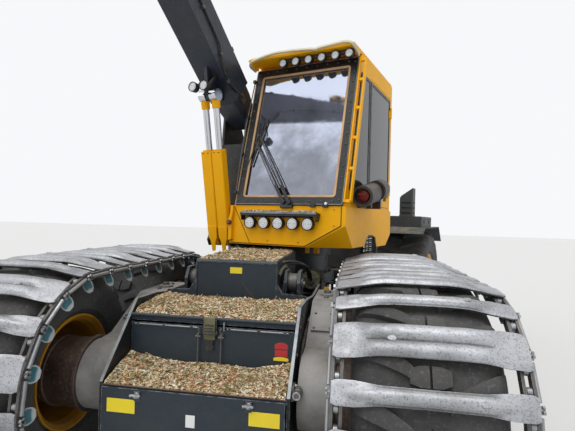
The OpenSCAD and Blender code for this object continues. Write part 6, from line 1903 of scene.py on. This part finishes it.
def build_upper_details():
    """Bottles in their tubes, hoses and blocks under the cab, dark panes of painted shade and rims on the
    hidden sides.
    """
    tubes = Piece("bottles", "upper", "dark_paint", UPPER)
    for x, y, z in ((1.162, -0.655, 1.925), (1.186, -0.318, 1.998)):
        place = shift(x, y, z) @ turn("x", 10)
        bottle = lathe([(0.054, 0.0), (0.054, 0.012), (0.046, 0.024), (0.026, 0.030), (0.012, 0.032)], 32)
        tubes.add(moved_shell(bottle, shift(0, 0.061, 0) @ turn("x", 90)), "bottle_red", place)
        for push in (-0.020, 0.016):
            tubes.add(rod("y", (push, 0.010, 0.018), 0.030, 0.009, 12, 0.002), "plastic", place)
        tubes.add(block(-0.040, 0.034, 0.006, 0.012, 0.012, 0.026), "bottle_red", place)
        mouth = ring([(0.0745, -0.002), (0.0965, -0.002), (0.0975, 0.004), (0.0965, 0.014), (0.0745, 0.004)],
                     40)
        tubes.add(moved_shell(mouth, turn("x", -90)), "tube_brown", place)
        for at in (0.050, 0.010):
            strap = ring([(0.0945, 0.0), (0.0980, 0.0), (0.0980, 0.022), (0.0945, 0.022)], 40)
            tubes.add(moved_shell(strap, shift(0, at, 0) @ turn("x", -90)), "steel_dirty", place)
        tubes.add(block(-0.020, 0.020, 0.005, 0.038, -0.104, -0.094), "steel_dirty", place)
    tubes.make()

    deck = Piece("deck_fittings", "upper", "dark_paint", UPPER)
    for c, d in on_circle(0.555, 32):
        deck.bolt(shift(c, d, 1.420), 0.013, 0.011)
    deck.add(block(0.200, 0.560, -0.700, -0.641, 1.500, 1.640), "iron")
    for k in range(5):
        x = 0.230 + 0.070 * k
        deck.add(rod("y", (x, -0.735, 1.600), 0.036, 0.014, 12, 0.003), "steel")
        run = [(x, -0.735, 1.600), (x + 0.005, -0.780, 1.580), (x + 0.030, -0.775, 1.520),
               (x + 0.060, -0.700, 1.478), (x + 0.080, -0.600, 1.470)]
        deck.add(hose(run, 0.011, 26, 8), "hose")
    for x in (0.060, 0.860):
        for y in (-0.560, 0.640):
            base = [(0.070, 1.6895), (0.070, 1.700), (0.052, 1.705), (0.052, 1.790), (0.066, 1.800)]
            deck.add(lathe(base, 24), "rubber", shift(x, y, 0))
    deck.make()

    panes = Piece("hidden_panes", "upper", "glass", UPPER)
    pane = [(-0.556, 1.994), (-0.340, 3.096), (0.596, 3.096), (0.596, 1.994)]
    # Near-black panes on the hidden sides that keep the cab's inside dark: painted shade.
    panes.add(prism("x", -0.0905, -0.0855, pane), "glass_painted_shade")
    panes.add(moved_shell(band(pane[::-1], 0.030, 0.004), on_side(-0.0905, -1)), "black_frame")
    panes.add(block(0.048, 0.917, 0.7605, 0.7655, 2.153, 3.077), "glass_painted_shade")
    rim = band(round_corners(0.040, 0.925, 2.145, 3.085, 0.03), 0.032, 0.004)
    panes.add(moved_shell(rim, on_end(0.7655)), "black_frame")
    # Air intake slats and a grab rail on the rear wall
    for k in range(7):
        panes.add(prism("x", 0.300, 0.660, [(0.7605, 1.880 + 0.030 * k), (0.7605, 1.884 + 0.030 * k),
                                            (0.7760, 1.870 + 0.030 * k), (0.7760, 1.866 + 0.030 * k)]),
                                            "plastic")
    panes.add(hose([(-0.020, 0.758, 2.20), (-0.020, 0.800, 2.22), (-0.020, 0.800, 2.78),
                    (-0.020, 0.758, 2.80)], 0.012, 30, 10),
              "plastic")
    for y, z in ((-0.62, 1.90), (-0.30, 1.90), (0.10, 1.90), (0.50, 1.90), (0.68, 2.40), (0.68, 2.80),
                 (0.68, 3.15)):
        panes.bolt(shift(-0.0855, y, z) @ turn("y", -90), 0.010, 0.006, "yellow_dull")
    panes.make(bevel=0.0006)


# Stage


FLOOR_REACH = 60.0
CAMERA_SPOT = (0.862, -3.324, 1.711)
CAMERA_YAW, CAMERA_PITCH, CAMERA_ROLL = 9.133, 0.435, 1.526


def build_stage(settings):
    """Pale floor, soft light and the camera at the photograph's place."""
    x, y = np.meshgrid([-FLOOR_REACH, FLOOR_REACH], [-FLOOR_REACH, FLOOR_REACH], indexing="ij")
    top = np.stack([x, y, np.full_like(x, CAD_BOX[0][2])], -1)
    points, faces = slab(top, top - [0, 0, 0.05])
    mesh = bpy.data.meshes.new("floor")
    mesh.from_pydata(points.tolist(), [], [tuple(int(i) for i in f) for group in faces for f in group])
    floor = bpy.data.objects.new("floor", mesh)
    bpy.context.scene.collection.objects.link(floor)
    material = bpy.data.materials.new("floor")
    material.use_nodes = True
    shader = material.node_tree.nodes["Principled BSDF"]
    shader.inputs["Base Color"].default_value = srgb(209, 209, 207)
    shader.inputs["Roughness"].default_value = 0.9
    mesh.materials.append(material)

    world = bpy.data.worlds.new("studio")
    bpy.context.scene.world = world
    world.use_nodes = True
    net = Net(world.node_tree)
    sky = world.node_tree.nodes["Background"]
    rays = net.add("ShaderNodeLightPath").outputs
    seen = net.math("MAXIMUM", net.math("MAXIMUM", rays["Is Camera Ray"], rays["Is Glossy Ray"]),
                    rays["Is Transmission Ray"])
    sky.inputs["Color"].default_value = (0.93, 0.94, 0.96, 1)
    net.feed(sky.inputs["Strength"], net.ramp(seen, 0.0, 1.0, 0.62, 1.0, False))

    for name, energy, spread, turned in (("key", settings.key, 50, (18, 4, -30)),
                                         ("fill", settings.fill, 60, (60, 0, -40))):
        lamp = bpy.data.lights.new(name, "SUN")
        lamp.energy = energy
        lamp.angle = math.radians(spread)
        item = bpy.data.objects.new(name, lamp)
        item.rotation_euler = [math.radians(a) for a in turned]
        bpy.context.scene.collection.objects.link(item)

    yaw, pitch, roll = (math.radians(a) for a in (CAMERA_YAW, CAMERA_PITCH, CAMERA_ROLL))
    spin = Matrix.Rotation(yaw, 3, "Z")
    ahead = spin @ Matrix.Rotation(pitch, 3, "X").col[1]
    right = spin.col[0].copy()
    up = right.cross(ahead)
    rolled_right = math.cos(roll) * right + math.sin(roll) * up
    rolled_up = -math.sin(roll) * right + math.cos(roll) * up
    camera = bpy.data.cameras.new("camera")
    camera.lens = settings.lens
    camera.sensor_width = 36.0
    camera.clip_end = 300
    item = bpy.data.objects.new("camera", camera)
    spot = CHASSIS[:3, 3] + np.array(CAMERA_SPOT)
    matrix = Matrix((rolled_right, rolled_up, -ahead)).transposed().to_4x4()
    matrix.translation = spot.tolist()
    item.matrix_world = matrix
    bpy.context.scene.collection.objects.link(item)
    bpy.context.scene.camera = item
    bpy.context.scene.view_settings.view_transform = "Standard"


# Settings, operators and panel


class HarvesterTrackSettings(bpy.types.PropertyGroup):
    """How far each track has run round its loop."""

    left_phase: bpy.props.FloatProperty(name="Left track",
                                        description="Run of the left track, in degrees of a wheel",
                                        default=25.9)
    right_phase: bpy.props.FloatProperty(name="Right track",
                                         description="Run of the right track, in degrees of a wheel",
                                         default=9.4)


class HarvesterLitterSettings(bpy.types.PropertyGroup):
    """How much litter lies on the steps, and how it falls."""

    seed: bpy.props.IntProperty(name="Seed", description="Number that sets how the chips fall", default=41,
                                min=0)
    amount: bpy.props.FloatProperty(name="Amount", description="Share of the chips that are laid",
                                    default=1.0, min=0.1, max=2.0, subtype="FACTOR")


class HarvesterStageSettings(bpy.types.PropertyGroup):
    """Strength of the soft lamps and length of the lens."""

    key: bpy.props.FloatProperty(name="Key", description="Strength of the main lamp", default=1.9, min=0.0)
    fill: bpy.props.FloatProperty(name="Fill", description="Strength of the second lamp", default=0.6,
                                  min=0.0)
    lens: bpy.props.FloatProperty(name="Lens", description="Focal length of the camera in millimetres",
                                  default=27.11, min=10.0)


class HARVESTER_OT_stage(bpy.types.Operator):
    """Adds the floor, the lamps and the camera"""

    bl_idname = "harvester.stage"
    bl_label = "Stage"

    def execute(self, context):
        build_stage(context.scene.harvester_stage)
        return {"FINISHED"}


class HARVESTER_OT_finishes(bpy.types.Operator):
    """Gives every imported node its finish"""

    bl_idname = "harvester.finishes"
    bl_label = "Finishes"

    def execute(self, context):
        dress_frame()
        return {"FINISHED"}


class HARVESTER_OT_tracks(bpy.types.Operator):
    """Adds both bogie tracks"""

    bl_idname = "harvester.tracks"
    bl_label = "Tracks"

    def execute(self, context):
        settings = context.scene.harvester_tracks
        build_track(1, settings.left_phase)
        build_track(-1, settings.right_phase)
        return {"FINISHED"}


class HARVESTER_OT_tyres(bpy.types.Operator):
    """Adds the tyres with their treads"""

    bl_idname = "harvester.tyres"
    bl_label = "Tyres"

    def execute(self, context):
        build_tyres()
        return {"FINISHED"}


class HARVESTER_OT_litter(bpy.types.Operator):
    """Strews wood chips and twigs on the steps"""

    bl_idname = "harvester.litter"
    bl_label = "Litter"

    def execute(self, context):
        settings = context.scene.harvester_litter
        build_litter(settings.seed, settings.amount)
        return {"FINISHED"}


class HARVESTER_OT_steps(bpy.types.Operator):
    """Adds the fittings of the two lids and the rear box"""

    bl_idname = "harvester.steps"
    bl_label = "Step fittings"

    def execute(self, context):
        build_step_fittings()
        return {"FINISHED"}


class HARVESTER_OT_running_gear(bpy.types.Operator):
    """Adds the bolts, flanges and caps of the bogies and hubs"""

    bl_idname = "harvester.running_gear"
    bl_label = "Running gear"

    def execute(self, context):
        build_running_gear()
        return {"FINISHED"}


class HARVESTER_OT_hoses(bpy.types.Operator):
    """Adds the hoses and the damper of the front frame"""

    bl_idname = "harvester.hoses"
    bl_label = "Front hoses"

    def execute(self, context):
        build_hoses()
        return {"FINISHED"}


class HARVESTER_OT_cab_front(bpy.types.Operator):
    """Adds the windscreen's fittings, the lamps and the front panel's lines"""

    bl_idname = "harvester.cab_front"
    bl_label = "Cab front"

    def execute(self, context):
        build_cab_front()
        return {"FINISHED"}


class HARVESTER_OT_cab_sides(bpy.types.Operator):
    """Adds the corner guard, the side panes and the roof's trim"""

    bl_idname = "harvester.cab_sides"
    bl_label = "Cab sides"

    def execute(self, context):
        build_cab_sides()
        build_upper_details()
        return {"FINISHED"}


class HARVESTER_OT_cabin(bpy.types.Operator):
    """Adds the padded seat and the controls inside the cab"""

    bl_idname = "harvester.cabin"
    bl_label = "Cabin"

    def execute(self, context):
        build_cabin()
        return {"FINISHED"}


class HARVESTER_OT_crane(bpy.types.Operator):
    """Adds the guards, lamps, pipes and pin caps of the crane"""

    bl_idname = "harvester.crane"
    bl_label = "Crane"

    def execute(self, context):
        build_crane()
        return {"FINISHED"}


class HARVESTER_OT_head(bpy.types.Operator):
    """Adds the fittings of the harvesting head"""

    bl_idname = "harvester.head"
    bl_label = "Head"

    def execute(self, context):
        build_head()
        return {"FINISHED"}


class HARVESTER_OT_rear(bpy.types.Operator):
    """Adds the fittings of the hood, the fenders and the rear frame"""

    bl_idname = "harvester.rear"
    bl_label = "Rear frame"

    def execute(self, context):
        build_rear()
        return {"FINISHED"}


OPERATORS = (HARVESTER_OT_stage, HARVESTER_OT_finishes, HARVESTER_OT_tracks, HARVESTER_OT_tyres,
             HARVESTER_OT_litter,
             HARVESTER_OT_steps, HARVESTER_OT_running_gear, HARVESTER_OT_hoses, HARVESTER_OT_cab_front,
             HARVESTER_OT_cab_sides, HARVESTER_OT_cabin, HARVESTER_OT_crane, HARVESTER_OT_head,
             HARVESTER_OT_rear)
SETTINGS = {"harvester_tracks": HarvesterTrackSettings, "harvester_litter": HarvesterLitterSettings,
            "harvester_stage": HarvesterStageSettings}


class HARVESTER_PT_panel(bpy.types.Panel):
    """Lists the settings and the operators"""

    bl_label = "Harvester"
    bl_idname = "HARVESTER_PT_panel"
    bl_space_type = "VIEW_3D"
    bl_region_type = "UI"
    bl_category = "Harvester"

    def draw(self, context):
        for name, kind in SETTINGS.items():
            box = self.layout.box()
            for item in kind.__annotations__:
                box.prop(getattr(context.scene, name), item)
        for operator in OPERATORS:
            self.layout.operator(operator.bl_idname)


def register():
    """Registers the settings, the operators and the panel."""
    for item in (*SETTINGS.values(), *OPERATORS, HARVESTER_PT_panel):
        bpy.utils.register_class(item)
    for name, kind in SETTINGS.items():
        setattr(bpy.types.Scene, name, bpy.props.PointerProperty(type=kind))


def unregister():
    """Takes them out again."""
    for name in SETTINGS:
        delattr(bpy.types.Scene, name)
    for item in (HARVESTER_PT_panel, *reversed(OPERATORS), *reversed(SETTINGS.values())):
        bpy.utils.unregister_class(item)


def main():
    """Builds every group of pieces in order."""
    register()
    bpy.ops.harvester.stage()
    bpy.ops.harvester.finishes()
    bpy.ops.harvester.tracks()
    bpy.ops.harvester.tyres()
    bpy.ops.harvester.litter()
    bpy.ops.harvester.steps()
    bpy.ops.harvester.running_gear()
    bpy.ops.harvester.hoses()
    bpy.ops.harvester.cab_front()
    bpy.ops.harvester.cab_sides()
    bpy.ops.harvester.cabin()
    bpy.ops.harvester.crane()
    bpy.ops.harvester.head()
    bpy.ops.harvester.rear()


if __name__ == "__main__":
    main()
